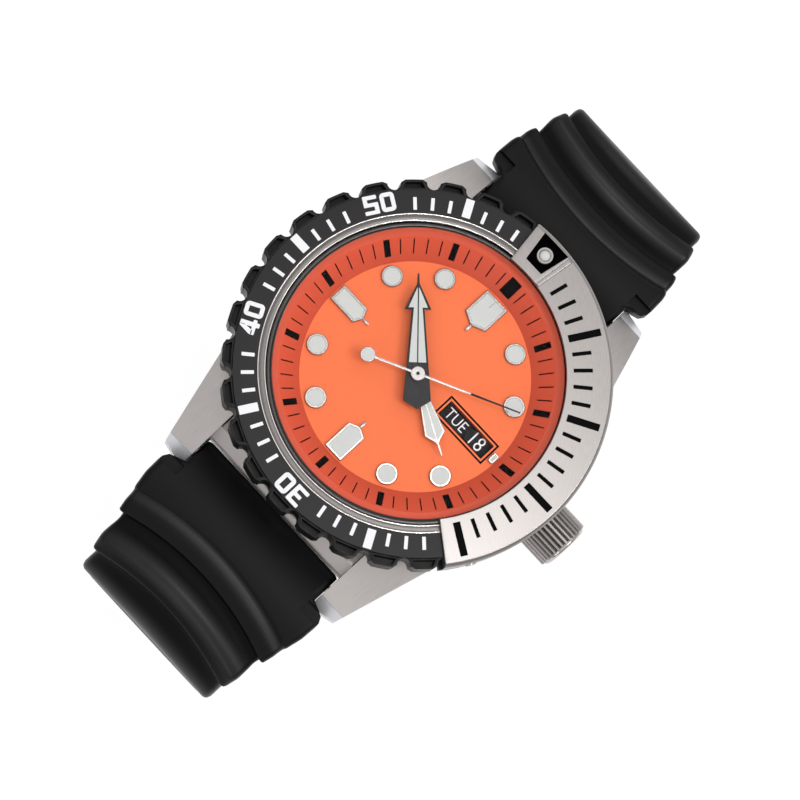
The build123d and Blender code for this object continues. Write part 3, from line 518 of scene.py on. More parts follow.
def turned(profile, steps=180):
    """Turn an outline of (radius, height) about the dial axis; one that meets it stays open."""
    bm = bmesh.new()
    corners = [bm.verts.new((radius, 0, height)) for radius, height in profile]
    for pair in zip(corners, corners[1:]):
        bm.edges.new(pair)
    if profile[0][0] > 0 or profile[-1][0] > 0:
        bm.edges.new((corners[-1], corners[0]))
    spun(bm, 360, steps, use_merge=True)
    return cleaned(bm)


def swept(profile, first, last, step=1.5):
    """Sweep a closed outline of (radius, height) from one clockwise angle to another."""
    bm = bmesh.new()
    bm.faces.new([bm.verts.new((*polar(radius, first), height)) for radius, height in profile])
    spun(bm, last - first, max(1, round((last - first) / step)))
    return cleaned(bm)


def thickened(bm, height):
    """Raise the flat faces of a bmesh into a solid."""
    grown = bmesh.ops.extrude_face_region(bm, geom=bm.faces[:])
    tops = [v for v in grown["geom"] if isinstance(v, bmesh.types.BMVert)]
    bmesh.ops.translate(bm, vec=(0, 0, height), verts=tops)
    return cleaned(bm)


def bevelled(bm, geometry, width, segments, affect="EDGES"):
    """Bevel some edges or corners."""
    bmesh.ops.bevel(
        bm, geom=geometry, offset=width, offset_type="OFFSET", affect=affect, segments=segments,
        profile=0.5, material=-1, clamp_overlap=True,
    )
    return bm


def inset(bm, faces, thickness, depth=0.0):
    """Inset faces, and give the band of faces made round them."""
    return bmesh.ops.inset_region(
        bm, faces=faces, thickness=thickness, depth=depth, use_even_offset=True,
        use_boundary=True,
    )["faces"]


def flat(points, height=0.0, rounding=0.0, segments=3):
    """Flat face with rounded corners."""
    bm = bmesh.new()
    bm.faces.new([bm.verts.new((x, y, height)) for x, y in points])
    bm.normal_update()
    return bevelled(bm, bm.verts[:], rounding, segments, "VERTICES") if rounding else bm


def flat_round(radius, height=0.0, centre=(0, 0), sides=48):
    """Flat round face."""
    bm = bmesh.new()
    bmesh.ops.create_circle(
        bm, cap_ends=True, segments=sides, radius=radius,
        matrix=Matrix.Translation((*centre, height)),
    )
    bm.normal_update()
    return bm


def mirrored(half):
    """Closed outline from its right half, given from one end to the other."""
    return half + [(-x, y) for x, y in reversed(half) if x > 0]


def hollowed(bm, thickness):
    """Flat face cut down to a band of a thickness round its border."""
    band = inset(bm, bm.faces[:], thickness)
    inside = [f for f in bm.faces if f not in band]
    bmesh.ops.delete(bm, geom=inside, context="FACES")
    return bm


def box(left, right, bottom, top):
    """Corners of a rectangle between its sides."""
    return [(left, bottom), (right, bottom), (right, top), (left, top)]


def oblong(half_width, half_height, middle=(0, 0)):
    """Corners of a rectangle about its middle."""
    x, y = middle
    return box(x - half_width, x + half_width, y - half_height, y + half_height)


def plate(points, bottom, top, rounding=0.0, segments=3):
    """Solid with a flat outline."""
    return thickened(flat(points, bottom, rounding, segments), top - bottom)


def disc(radius, bottom, top, centre=(0, 0), sides=48):
    """Round solid standing on a height."""
    return thickened(flat_round(radius, bottom, centre, sides), top - bottom)


def block(size, centre):
    """Small rectangular solid."""
    bm = bmesh.new()
    place = Matrix.Translation(centre) @ Matrix.Diagonal((*size, 1))
    bmesh.ops.create_cube(bm, size=1, matrix=place)
    return bm


def softened(bm, width, segments=2, angle=32):
    """Bevel the edges that turn by more than an angle."""
    sharp = [
        e for e in bm.edges
        if len(e.link_faces) == 2 and e.calc_face_angle(0) > radians(angle)
    ]
    return cleaned(bevelled(bm, sharp, width, segments))


def turned_to(bm, angle):
    """Turn a bmesh clockwise about the dial axis."""
    bm.transform(Matrix.Rotation(-radians(angle), 4, "Z"))
    return bm


def moved(bm, offset):
    """Shift a bmesh."""
    bm.transform(Matrix.Translation(offset))
    return bm


def joined(parts):
    """One bmesh of several."""
    whole = bmesh.new()
    for part in parts:
        mesh = bpy.data.meshes.new("part")
        part.to_mesh(mesh)
        part.free()
        whole.from_mesh(mesh)
        bpy.data.meshes.remove(mesh)
    return whole


def mesh_of(bm, name):
    """Mesh of a bmesh drawn in millimetres, in metres."""
    mesh = bpy.data.meshes.new(name)
    bmesh.ops.scale(bm, vec=(MM, MM, MM), verts=bm.verts)
    bm.to_mesh(mesh)
    bm.free()
    return mesh


def evaluated(thing):
    """Shape of a temporary object with its modifiers, and the object removed."""
    graph = bpy.context.evaluated_depsgraph_get()
    mesh = bpy.data.meshes.new_from_object(thing.evaluated_get(graph))
    bm = bmesh.new()
    bm.from_mesh(mesh)
    bpy.data.meshes.remove(mesh)
    bpy.data.objects.remove(thing)
    return bm


def linked(name, data):
    """New object in the scene."""
    thing = bpy.data.objects.new(name, data)
    bpy.context.scene.collection.objects.link(thing)
    return thing


def carved(bm, cutter):
    """Cut one closed shape out of another."""
    meshes = [mesh_of(shape, "carved") for shape in (bm, cutter)]
    base, tool = (linked("carved", mesh) for mesh in meshes)
    cut = base.modifiers.new("cut", "BOOLEAN")
    cut.operation = "DIFFERENCE"
    cut.solver = "EXACT"
    cut.object = tool
    out = evaluated(base)
    bmesh.ops.scale(out, vec=(1 / MM,) * 3, verts=out.verts)
    if not out.faces:
        raise RuntimeError("a cut left nothing behind")
    bpy.data.objects.remove(tool)
    for mesh in meshes:
        bpy.data.meshes.remove(mesh)
    return out


def copied(node):
    """Merged copy of a CAD node's mesh, its flat faces made whole."""
    bm = bmesh.new()
    bm.from_mesh(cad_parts[node].data)
    bmesh.ops.scale(bm, vec=(1 / MM,) * 3, verts=bm.verts)
    bmesh.ops.remove_doubles(bm, verts=bm.verts, dist=1e-4)
    bmesh.ops.dissolve_limit(
        bm, angle_limit=radians(0.5), verts=bm.verts, edges=bm.edges, delimit=set()
    )
    return bm


def piece(bm, name, finish, body, replaces=(), smooth=30):
    """Make a bmesh a named piece with a finish, riding on a body."""
    mesh = mesh_of(bm, name)
    mesh.shade_smooth()
    mesh.set_sharp_from_angle(angle=radians(smooth))
    mesh.materials.append(made(finish))
    thing = linked(name, mesh)
    normals = thing.modifiers.new("normals", "WEIGHTED_NORMAL")
    normals.keep_sharp = True
    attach(thing, body)
    if replaces:
        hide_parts(*replaces)
    return thing


def lettering(text, size, weight, thickness):
    """Text as a mesh, centred on the origin."""
    curve = bpy.data.curves.new("lettering", "FONT")
    curve.body = text
    curve.size = size
    curve.offset = weight
    curve.extrude = thickness / 2
    curve.resolution_u = 3
    curve.align_x = "CENTER"
    curve.align_y = "CENTER"
    bm = evaluated(linked("lettering", curve))
    bpy.data.curves.remove(curve)
    bmesh.ops.remove_doubles(bm, verts=bm.verts, dist=1e-5)
    return bm


class Build(bpy.types.Operator):
    """Common ground of the operators that make pieces."""

    bl_idname = "watch.build"
    bl_label = "Build"

    def execute(self, context):
        sizes = context.scene.watch_sizes
        self.make(sizes, sizes.edge / MM)
        return {"FINISHED"}

    def make(self, sizes, edge):
        """Nothing of its own."""


# ------------------------------------------------------------------ case
class WATCH_OT_case(Build):
    """Case and case back with their edges broken, and the walls between the lugs"""

    bl_idname = "watch.case"
    bl_label = "Case"

    def make(self, sizes, edge):
        for node, finish, width in (
            ("case", "case_metal", edge * 1.3), ("case_back", "back_metal", edge),
        ):
            bm = softened(copied(node), width, angle=20)
            piece(bm, f"{node}_finished", finish, "head", (node,), smooth=12)
        # the walls stand between the lugs, beside each end of the strap
        walls = []
        wide = 21.9
        for side in (1, -1):
            wall = flat([(17.4, 1.3), (21.2, 1.3), (21.2, 3.9), (19.8, 5.3), (17.4, 5.3)])
            thickened(wall, wide)
            wall.transform(
                Matrix.Rotation(side * pi / 2, 4, "Z") @ Matrix.Rotation(pi / 2, 4, "X")
                @ Matrix.Translation((0, 0, -wide / 2))
            )
            walls.append(softened(wall, 0.12))
        piece(joined(walls), "case_lug_walls", "wall_metal", "head")


# ------------------------------------------------------------------ crystal and dial
GLASS_RADIUS = 16.72


class WATCH_OT_crystal(Build):
    """Crystal, its metal ring and the black gasket line between them"""

    bl_idname = "watch.crystal"
    bl_label = "Crystal and ring"

    def make(self, sizes, edge):
        seat = low("crystal_ring").z
        top = high("crystal_ring").z
        outer = high("crystal_ring").x - 0.02
        crest = high("crystal").z
        bevel = 0.35
        glass = softened(turned([
            (0, seat + 0.05), (GLASS_RADIUS, seat + 0.05), (GLASS_RADIUS, crest - bevel),
            (GLASS_RADIUS - bevel, crest), (0, crest),
        ]), 0.04)
        glass = piece(
            glass, "crystal_finished", "crystal_glass", "head", ("crystal",)
        )
        glass.visible_diffuse = False
        ring = softened(turned(box(GLASS_RADIUS + 0.22, outer, seat, top)), edge, 3)
        piece(ring, "crystal_ring_finished", "dark_ring", "head", ("crystal_ring",))
        gasket = turned(box(GLASS_RADIUS + 0.02, GLASS_RADIUS + 0.21, seat + 0.1, top - 0.1))
        piece(
            softened(gasket, 0.03), "crystal_gasket_line", "gasket_rubber", "head",
        )


class WATCH_OT_dial(Build):
    """Dial, chapter ring and everything printed on them"""

    bl_idname = "watch.dial"
    bl_label = "Dial"

    def make(self, sizes, edge):
        top = high("dial").z
        bottom = low("dial").z
        # the window for the day and date: its middle, half its length and half its height
        middle, along, across = 8.425, 3.475, 1.0
        face = carved(
            turned(box(0.9, 14.2, bottom, top)), block((2 * along, 2 * across, 2), (middle, 0, top))
        )
        piece(face, "dial_finished", "dial_lacquer", "head", ("dial",))
        lines = [
            hollowed(flat(oblong(along + gap, across + gap, (middle, 0)), top + 0.005), width)
            for gap, width in ((0.52, 0.22), (0.08, 0.13))
        ]
        piece(thickened(joined(lines), 0.012), "window_frame", "black_print", "head")

        foot = 13.4
        rim = high("chapter_ring").x
        crest = high("chapter_ring").z
        lip = crest + 0.03
        slope = turned([
            (foot, top), (rim, top), (rim, crest + 0.01), (GLASS_RADIUS, crest + 0.01),
            (GLASS_RADIUS, lip), (rim, lip),
        ])
        piece(
            slope, "chapter_ring_finished", "chapter_lacquer", "head",
            ("chapter_ring",),
        )
        tilt = atan2(lip - top, rim - foot)
        reach = 14.95
        marks = []
        for minute in range(60):
            wide, long = (0.14, 1.5) if minute % 5 else (0.74, 1.72) if minute else (1.55, 1.9)
            mark = block((wide, long / cos(tilt), 0.03), (0, 0, 0.006))
            mark.transform(
                Matrix.Translation((0, reach, top + (reach - foot) * tan(tilt)))
                @ Matrix.Rotation(tilt, 4, "X")
            )
            marks.append(turned_to(mark, 6 * minute))
        piece(joined(marks), "chapter_marks", "black_print", "head")


class WATCH_OT_calendar(Build):
    """White lettering of the day and date discs, and the mask under their gap"""

    bl_idname = "watch.calendar"
    bl_label = "Day and date"

    def make(self, sizes, edge):
        days = ("TUE", "WED", "THU", "FRI", "SAT", "SUN", "MON") * 2
        dates = [str((17 + number) % 31 + 1) for number in range(31)]
        for kind, words, reach, size in (("day", days, 6.86, 2.0), ("date", dates, 10.18, 2.55)):
            level = high(f"{kind}_disc").z
            signs = []
            for number, word in enumerate(words):
                sign = lettering(word, size, -0.012, 0.02)
                sign.transform(Matrix.Diagonal((0.84, 1, 1, 1)))
                moved(sign, (reach, 0, level + 0.012))
                signs.append(turned_to(sign, -360 * number / len(words)))
            piece(joined(signs), f"{kind}_print", "white_print", f"{kind}_body")
        # ring that closes the gap between the two discs
        under = low("day_disc").z
        mask = turned(box(8.2, 9.4, under - 0.12, under - 0.04))
        piece(mask, "calendar_mask", "disc_black", "head")


# ------------------------------------------------------------------ markers and hands
def framed(outline, bottom, top, rim):
    """Metal frame with bevelled walls round a flat outline, and the pad of lume that fills it."""
    wall = thickened(outline(), top - bottom - 0.1)
    upper = max(wall.faces, key=lambda f: f.calc_center_median().z)
    for thickness, depth in ((0.08, 0.1), (rim, 0.0), (0.05, -0.1)):
        inset(wall, [upper], thickness, depth)
    pad = outline()
    bmesh.ops.delete(pad, geom=inset(pad, pad.faces[:], rim + 0.1), context="FACES")
    thickened(pad, top - bottom - 0.04)
    return cleaned(wall), softened(pad, 0.04)


class WATCH_OT_markers(Build):
    """Applied hour markers: silver frames filled with lume"""

    bl_idname = "watch.markers"
    bl_label = "Hour markers"

    def make(self, sizes, edge):
        bottom = low("hour_markers").z
        top = high("hour_markers").z
        rim = sizes.marker_rim / MM
        frames, pads = [], []

        def add(outline, angle, reach=0.0, band=rim):
            for shape, group in zip(framed(outline, bottom, top, band), (frames, pads)):
                moved(shape, (0, reach, 0))
                group.append(turned_to(shape, angle))

        # round plots, then the three shields with a stem each, then the short bar at 3
        plot, plot_reach = 1.27, 11.85
        for hour in (1, 2, 4, 5, 7, 8, 10, 11):
            add(lambda: flat_round(plot, bottom), 30 * hour, plot_reach, rim * 0.85)
        for angle, width, inner, outer in (
            (0, 3.4, 9.5, 13.1), (180, 2.6, 9.4, 13.2), (270, 2.35, 9.4, 13.2),
        ):
            half = width / 2
            point = inner - 0.4 * half
            shield = [
                (-half, outer), (-half, inner), (-0.24, point), (0.24, point), (half, inner),
                (half, outer),
            ]
            add(lambda: flat(shield, bottom), angle)
            stem = block((0.3, 1.0, 0.26), (0, point - 0.42, bottom + 0.13))
            frames.append(turned_to(softened(stem, 0.04), angle))
        add(lambda: flat(oblong(0.65, 0.4), bottom, 0.22), 90, 12.95, rim * 0.7)
        frames.append(block((0.16, 1.15, 0.1), (0, 12.35, top - 0.04)))
        piece(
            joined(frames), "marker_frames", "frame_silver", "head",
            ("hour_markers",),
        )
        piece(joined(pads), "marker_lume", "glow_paint", "head")


class WATCH_OT_hands(Build):
    """Hour, minute and seconds hands with their lume"""

    bl_idname = "watch.hands"
    bl_label = "Hands"

    def make(self, sizes, edge):
        thick = high("minute_hand").z - low("minute_hand").z
        proud = 0.02
        for hand, angle, finish, slot, half, window in (
            ("minute", 314.2, "hand_black", "hand_black",
             [(0, -4.05), (1.6, -3.05), (1.24, 1.4), (0.74, 7.5), (1.55, 7.5), (0.16, 10.5),
              (0.09, 11.75)],
             [(0.07, 1.35), (1.0, 1.35), (0.5, 7.72), (1.12, 7.72), (0.12, 10.05), (0.07, 10.05)]),
            ("hour", 116.3, "frame_silver", "hand_silver",
             [(0, -1.2), (0.6, -0.9), (0.62, 3.2), (1.2, 7.05), (0.14, 8.15), (0.1, 9.7)],
             [(0.07, 2.4), (0.46, 2.4), (0.47, 3.25), (0.98, 6.98), (0.07, 7.85)]),
        ):
            node, body = f"{hand}_hand", f"{hand}_body"
            level = low(node).z
            blade = softened(plate(mirrored(half), level, level + thick), 0.05)
            piece(turned_to(blade, angle), f"{node}_finished", finish, body, (node,))
            pads = []
            for side in (1, -1):
                face = flat([(side * x, y) for x, y in window], level + 0.05)
                pads.append(softened(thickened(face, thick - 0.05 + proud), 0.03))
            piece(turned_to(joined(pads), angle), f"{node}_lume", "glow_paint", body)

        # seconds hand: needle, hub and the ring of lume on its tail, then its black tip
        angle = 63.5
        tail = (0, -6.1)
        level = low("seconds_hand").z
        crest = level + thick
        needle = plate(
            [(-0.16, tail[1]), (0.16, tail[1]), (0.12, 6.5), (-0.12, 6.5)], level,
            level + thick * 0.8,
        )
        metal = joined([
            softened(needle, 0.03), softened(disc(0.82, level - 0.02, crest), 0.06, 3),
            softened(disc(0.9, level, crest, tail), 0.09, 3),
        ])
        piece(
            turned_to(metal, angle), "seconds_hand_finished", "frame_silver", "fourth_body",
            ("seconds_hand",),
        )
        pad = softened(disc(0.68, crest - 0.02, crest + proud, tail), 0.02)
        piece(turned_to(pad, angle), "seconds_hand_lume", "glow_paint", "fourth_body")
        tip = plate(
            [(-0.12, 6.45), (0.12, 6.45), (0.08, 12.55), (-0.08, 12.55)], level + 0.01,
            level + thick * 0.8 + 0.01,
        )
        pivot = disc(0.2, crest - 0.02, crest + 0.02, sides=24)
        piece(
            turned_to(joined([softened(tip, 0.03), pivot]), angle), "seconds_hand_tip",
            "hand_black", "fourth_body",
        )


# ------------------------------------------------------------------ bezel
TOOTH = 12.0
FIRST_TOOTH = 132.0
TEETH = 19
SEAT = 10.6  # top of the black ring that the sector stands on


def repeated(bm):
    """Copy one tooth's shape to every tooth."""
    turned_to(bm, FIRST_TOOTH)
    spun(bm, TOOTH * (TEETH - 1), TEETH - 1, use_duplicate=True)
    return bm


class WATCH_OT_bezel(Build):
    """Black bezel ring: flat face, notched grip, tooth pockets and white marks"""

    bl_idname = "watch.bezel"
    bl_label = "Bezel ring"

    def make(self, sizes, edge):
        bottom = low("bezel_ring").z
        top = high("bezel_ring").z
        rim_top = top - 0.25
        rim = min(high("bezel_ring").y, -low("bezel_ring").x) - 0.01
        bore = 17.5
        face_start = 18.4
        face_edge = 21.2
        first, last = FIRST_TOOTH - TOOTH / 2, FIRST_TOOTH + TOOTH * (TEETH - 0.5)
        face = softened(swept(box(face_start, face_edge, bottom, top), first, last), edge, 2)
        inner_rim = swept(box(bore, face_start - 0.04, bottom, top - 0.02), first, last)
        piece(
            softened(inner_rim, edge * 0.5, 2), "bezel_inner_rim", "ring_metal", "bezel",
        )
        # thin polished rings at the face's inner edges, their steel made brighter as a painted
        # highlight
        lines = [
            softened(swept(box(inner, inner + 0.11, top - 0.1, top + 0.005), first, last), 0.02)
            for inner in (bore, face_start - 0.12)
        ]
        piece(joined(lines), "bezel_rim_lines", "edge_metal", "bezel")

        seat = swept(box(bore, rim, bottom, SEAT), -9, 127, 3)
        # one half tooth, from its middle to the middle of the notch beside it
        notch = 0.8
        centre = Vector(polar(face_edge + 0.08 + notch, TOOTH / 2))
        arc = [
            tuple(centre - notch * Vector(polar(1, TOOTH / 2 + turn)))
            for turn in (8, 30, 52, 74, 92)
        ]
        outline = [polar(face_edge - 0.02, angle) for angle in (0, 2, 4, 6)]
        outline += [polar(face_edge + 0.08, TOOTH / 2)] + arc
        outline += [polar(rim, angle) for angle in (2.55, 1.3, 0)]
        outline += [
            (0.0, rim - 0.3), (0.95, rim - 0.33), (1.28, face_edge + 0.2), (0.0, face_edge + 0.22),
        ]
        grip = flat(outline, rim_top)
        bmesh.ops.mirror(
            grip, geom=grip.verts[:] + grip.edges[:] + grip.faces[:], axis="X", merge_dist=1e-4
        )
        cleaned(repeated(grip))
        softened(thickened(grip, bottom - rim_top), edge * 0.9, 2)
        floors = flat(mirrored([
            (0.0, rim - 0.2), (1.1, rim - 0.25), (1.4, face_edge + 0.1), (0.0, face_edge + 0.1),
        ]), rim_top - 1.1)
        thickened(repeated(floors), -0.5)
        piece(face, "bezel_ring_finished", "bezel_coating", "bezel", ("bezel_ring",))
        piece(joined([seat, grip, floors]), "bezel_grip", "grip_coating", "bezel")

        marks = []
        marks_start = 18.77
        scale = sizes.numeral_height / MM
        for minute in range(22, 59):
            if minute % 10 in (9, 0, 1):  # the numerals stand there
                continue
            half, length = (0.21, 0.66 * scale) if minute % 5 else (0.5, scale)
            mark = plate(
                box(-half, half, marks_start, marks_start + length), top - 0.02, top + 0.03, 0.06
            )
            marks.append(turned_to(softened(mark, 0.015, 1), 6 * minute))
        for minute in (30, 40, 50):
            for digit, offset in ((minute // 10, -0.44), (0, 0.44)):
                sign = numeral(digit)
                sign.transform(
                    Matrix.Translation(((offset - 0.37) * scale, marks_start, top - 0.02))
                    @ Matrix.Diagonal((scale, scale, 1, 1))
                )
                marks.append(turned_to(softened(sign, 0.015, 1), 6 * minute))
        piece(joined(marks), "bezel_print", "white_print", "bezel")


def numeral(digit):
    """Block digit of unit height."""
    wide, bar, thick = 0.76, 0.22, 0.05
    shapes = {
        3: [[
            (0, 0), (wide, 0), (wide, 1), (0, 1), (0, 0.8), (wide - bar, 0.8), (wide - bar, 0.6),
            (0.16, 0.6), (0.16, 0.4), (wide - bar, 0.4), (wide - bar, 0.2), (0, 0.2),
        ]],
        5: [[
            (0, 0), (wide, 0), (wide, 0.61), (bar, 0.61), (bar, 0.79), (wide - 0.03, 0.79),
            (wide - 0.03, 1), (0, 1), (0, 0.41), (wide - bar, 0.41), (wide - bar, 0.2), (0, 0.2),
        ]],
        4: [
            [(0.4, 0), (0.64, 0), (0.64, 0.17), (0.78, 0.17), (0.78, 0.37), (0.64, 0.37),
             (0.64, 1), (0.4, 1), (0.4, 0.37), (0, 0.37), (0, 0.17), (0.4, 0.17)],
            [(0, 0.3), (0.22, 0.3), (0.44, 0.74), (0.44, 1), (0.34, 1), (0, 0.42)],
        ],
    }
    if digit == 0:
        return thickened(hollowed(flat(box(0, wide, 0, 1), 0, 0.2), bar), thick)
    return joined([thickened(flat(points, 0, 0.045), thick) for points in shapes[digit]])


class WATCH_OT_sector(Build):
    """Steel sector with engraved minutes and the luminous pip in its raised block"""

    bl_idname = "watch.sector"
    bl_label = "Steel sector"

    def make(self, sizes, edge):
        crest = high("bezel_pip_bead").z - 0.1
        top = crest - 0.22
        rim = high("bezel_sector").x - 0.01
        bore = 16.9
        hang = 12.8
        start, end, block_end = -8.2, 126.0, 7.2
        marks = [(m, 17.6, 21.5, 0.86) for m in (5, 10, 15, 20)]
        marks += [(m, 17.7, 19.95, 0.46) for m in range(2, 20) if m % 5]
        depth = 0.25

        band = softened(swept([
            (bore, hang), (17.9, hang), (17.9, SEAT), (rim, SEAT), (rim, top - 0.4),
            (rim - 0.4, top), (bore, top),
        ], start, end), edge)
        slots, fills = [], []
        for minute, inner, outer, width in marks:
            points = box(-width / 2, width / 2, inner, outer)
            for group, under, over in (
                (slots, top - depth, top + 1), (fills, top - depth - 0.05, top - depth + 0.06),
            ):
                group.append(turned_to(plate(points, under, over, 0.05, 2), 6 * minute))
        recess = [(-1.95, 21.85), (1.95, 21.85), (1.25, 18.05), (-1.25, 18.05)]
        floor = crest - 0.5
        well = plate(recess, floor, crest + 1, 0.1)

        def raised(height, first, last):
            """Low wall across the sector, up to a height."""
            return swept([
                (bore, top - 0.3), (rim - 0.4, top - 0.3), (rim - 0.4, top), (rim - 0.62, height),
                (bore, height),
            ], first, last)

        pip_block = softened(raised(crest, start, block_end - 1.6), edge * 0.9)
        ridge = softened(raised(crest + 0.02, block_end - 1.9, block_end), 0.16, 3)
        steel = joined([
            carved(band, joined(slots + [plate(recess, floor - 0.1, crest + 1, 0.1)])),
            carved(pip_block, well), ridge,
        ])
        piece(
            steel, "bezel_sector_finished", "sector_metal", "bezel",
            ("bezel_sector",),
        )
        fills.append(plate(recess, floor - 0.14, floor, 0.1))
        piece(joined(fills), "sector_fill", "black_print", "bezel")

        reach = 19.95
        cup = turned([
            (0.62, floor), (1.02, floor), (1.02, floor + 0.36), (0.94, floor + 0.46),
            (0.76, floor + 0.46), (0.62, floor + 0.3),
        ], 48)
        piece(
            moved(cup, (0, reach, 0)), "pip_cup_finished", "polished_metal", "bezel",
            ("bezel_pip_cup",),
        )
        bead = turned([
            (0, floor), (0.6, floor), (0.6, floor + 0.34), (0.52, floor + 0.46),
            (0.36, floor + 0.54), (0.18, floor + 0.575), (0, floor + 0.585),
        ], 48)
        piece(
            moved(bead, (0, reach, 0)), "pip_bead_finished", "glow_paint", "bezel",
            ("bezel_pip_bead",), smooth=60,
        )
        screws = []
        for angle in (0.0, 118.0):
            head = turned([(0, -0.2), (0.62, -0.2), (0.62, 0.1), (0.5, 0.2), (0, 0.2)], 32)
            head = carved(head, block((1.6, 0.16, 0.3), (0, 0, 0.2)))
            head.transform(
                Matrix.Translation((0, rim, 11.7)) @ Matrix.Rotation(-pi / 2, 4, "X")
            )
            screws.append(turned_to(head, angle))
        piece(joined(screws), "sector_screws", "polished_metal", "bezel")


# ------------------------------------------------------------------ crown
class WATCH_OT_crown(Build):
    """Fluted crown with its polished end"""

    bl_idname = "watch.crown"
    bl_label = "Crown"

    def make(self, sizes, edge):
        dome = 0.45
        start = low("crown").x
        length = high("crown").x - dome - start
        outer = (high("crown").z - low("crown").z) / 2 - 0.01
        level = (high("crown").z + low("crown").z) / 2
        pitch = 360 / sizes.crown_flutes
        # one flute, as shares of the pitch and depths: a flat crest, then the groove
        flute = bmesh.new()
        corners = [
            flute.verts.new((*polar(outer - depth, pitch * share), 0))
            for share, depth in ((0.0, 0.0), (0.4, 0.0), (0.7, 0.44))
        ]
        for pair in zip(corners, corners[1:]):
            flute.edges.new(pair)
        spun(flute, 360 - pitch, sizes.crown_flutes - 1, use_duplicate=True)
        cleaned(flute)
        around = sorted(flute.verts, key=lambda v: atan2(v.co.x, v.co.y))
        grip = thickened(flat([v.co.xy for v in around]), length)
        flute.free()
        ends = [e for e in grip.edges if abs(e.verts[0].co.z - e.verts[1].co.z) < 1e-6]
        bevelled(grip, ends, 0.14, 2)
        socket = disc(2.3, -1, 2.7, sides=64)  # leaves room for the crown's tube
        grip = carved(cleaned(grip), socket)
        cap = turned([(radius, length + height) for radius, height in (
            (0, -0.2), (2.95, -0.2), (2.95, 0.12), (2.82, 0.3), (2.5, 0.4), (1.2, 0.44), (0, dome),
        )], 96)
        place = Matrix.Translation((start, 0, level)) @ Matrix.Rotation(pi / 2, 4, "Y")
        for shape, name, finish, replaced in (
            (grip, "crown_grip", "crown_metal", ("crown",)),
            (softened(cap, 0.04), "crown_cap", "polished_metal", ()),
        ):
            shape.transform(place)
            piece(shape, name, finish, "crown_body", replaced, smooth=18)


# ------------------------------------------------------------------ strap
BAR = (23.2, 2.6)  # spring bar, along Y and Z
THICK = 3.6


def eased(share):
    """Smooth step from 0 to 1, flat outside them."""
    share = min(1.0, max(0.0, share))
    return share * share * (3 - 2 * share)


class Half:
    """Course of a strap half: bends of (radius, degrees) from its spring bar, then a run."""

    def __init__(self, side, bends, run, crests, bow):
        self.side = side
        self.bends = bends
        self.crests = crests
        self.bow = bow
        self.length = run + sum(radius * radians(turn) for radius, turn in bends)

    def at(self, distance):
        """Point and heading (y, z, radians) at a distance along the middle of the strap."""
        y, z = BAR
        heading = radians(sum(turn for radius, turn in self.bends[:2]) - 90)
        for radius, turn in self.bends:
            length = radius * radians(turn)
            if distance < 0:
                break
            step = min(distance, length)
            after = heading - step / radius
            y += radius * (sin(heading) - sin(after))
            z += radius * (cos(after) - cos(heading))
            heading = after
            distance -= step
            if distance <= 0:
                break
        return y + distance * cos(heading), z + distance * sin(heading), heading

    def width(self, distance):
        """Half width at a distance: narrow between the lugs, wide past them, then tapered."""
        y = self.at(distance)[0]
        narrow = 10.0
        stops = (
            (-9, 10.9), (26.02, 10.9), (26.2, 12.7), (26.5, 13.1), (27.3, 13.2), (29.4, 13.1),
            (39.5, 10.9), (43, narrow),
        )
        if distance > 24:
            return narrow
        for (near, first), (far, second) in zip(stops, stops[1:]):
            if y <= far:
                return first + (second - first) * (y - near) / (far - near)
        return narrow

    def valley(self, place):
        """How deep the surface lies below the strap's own, and its painted sheen there: a painted
        highlight on the crests, painted shade in the valleys.
        """
        # the first valley is shallow, and the painted sheen lies early in it
        deepest, glossiest = 0.22, 0.3
        for near, far in zip(self.crests, self.crests[1:]):
            if near <= place < far:
                # a short drop behind the crest, then a slow rise to the next one
                share = (place - near) / (far - near)
                sunk = deepest * (eased((place - near) / 0.6) - eased((share - 0.2) / 0.5))
                sunk += 0.1 * max(0.0, share - 0.7)
                sheen = max(0.0, 1 - ((share - glossiest) / 0.24) ** 2)
                return sunk, 0.9 * sheen - 0.35 * sunk
            deepest, glossiest = 1.0, 0.66
        return 0.0, 0.0

    def stations(self):
        """Rows along the strap, closer together where its surface turns quickly."""
        rows, place = [], -THICK / 2
        last = self.length + THICK / 2
        while place < last:
            rows.append(place)
            near_end = min(place + THICK / 2, last - place) < 0.9
            near_crest = any(-0.25 < place - crest < 0.75 for crest in self.crests[:-1])
            place += 0.1 if near_end or near_crest else 0.4
        return rows + [last]


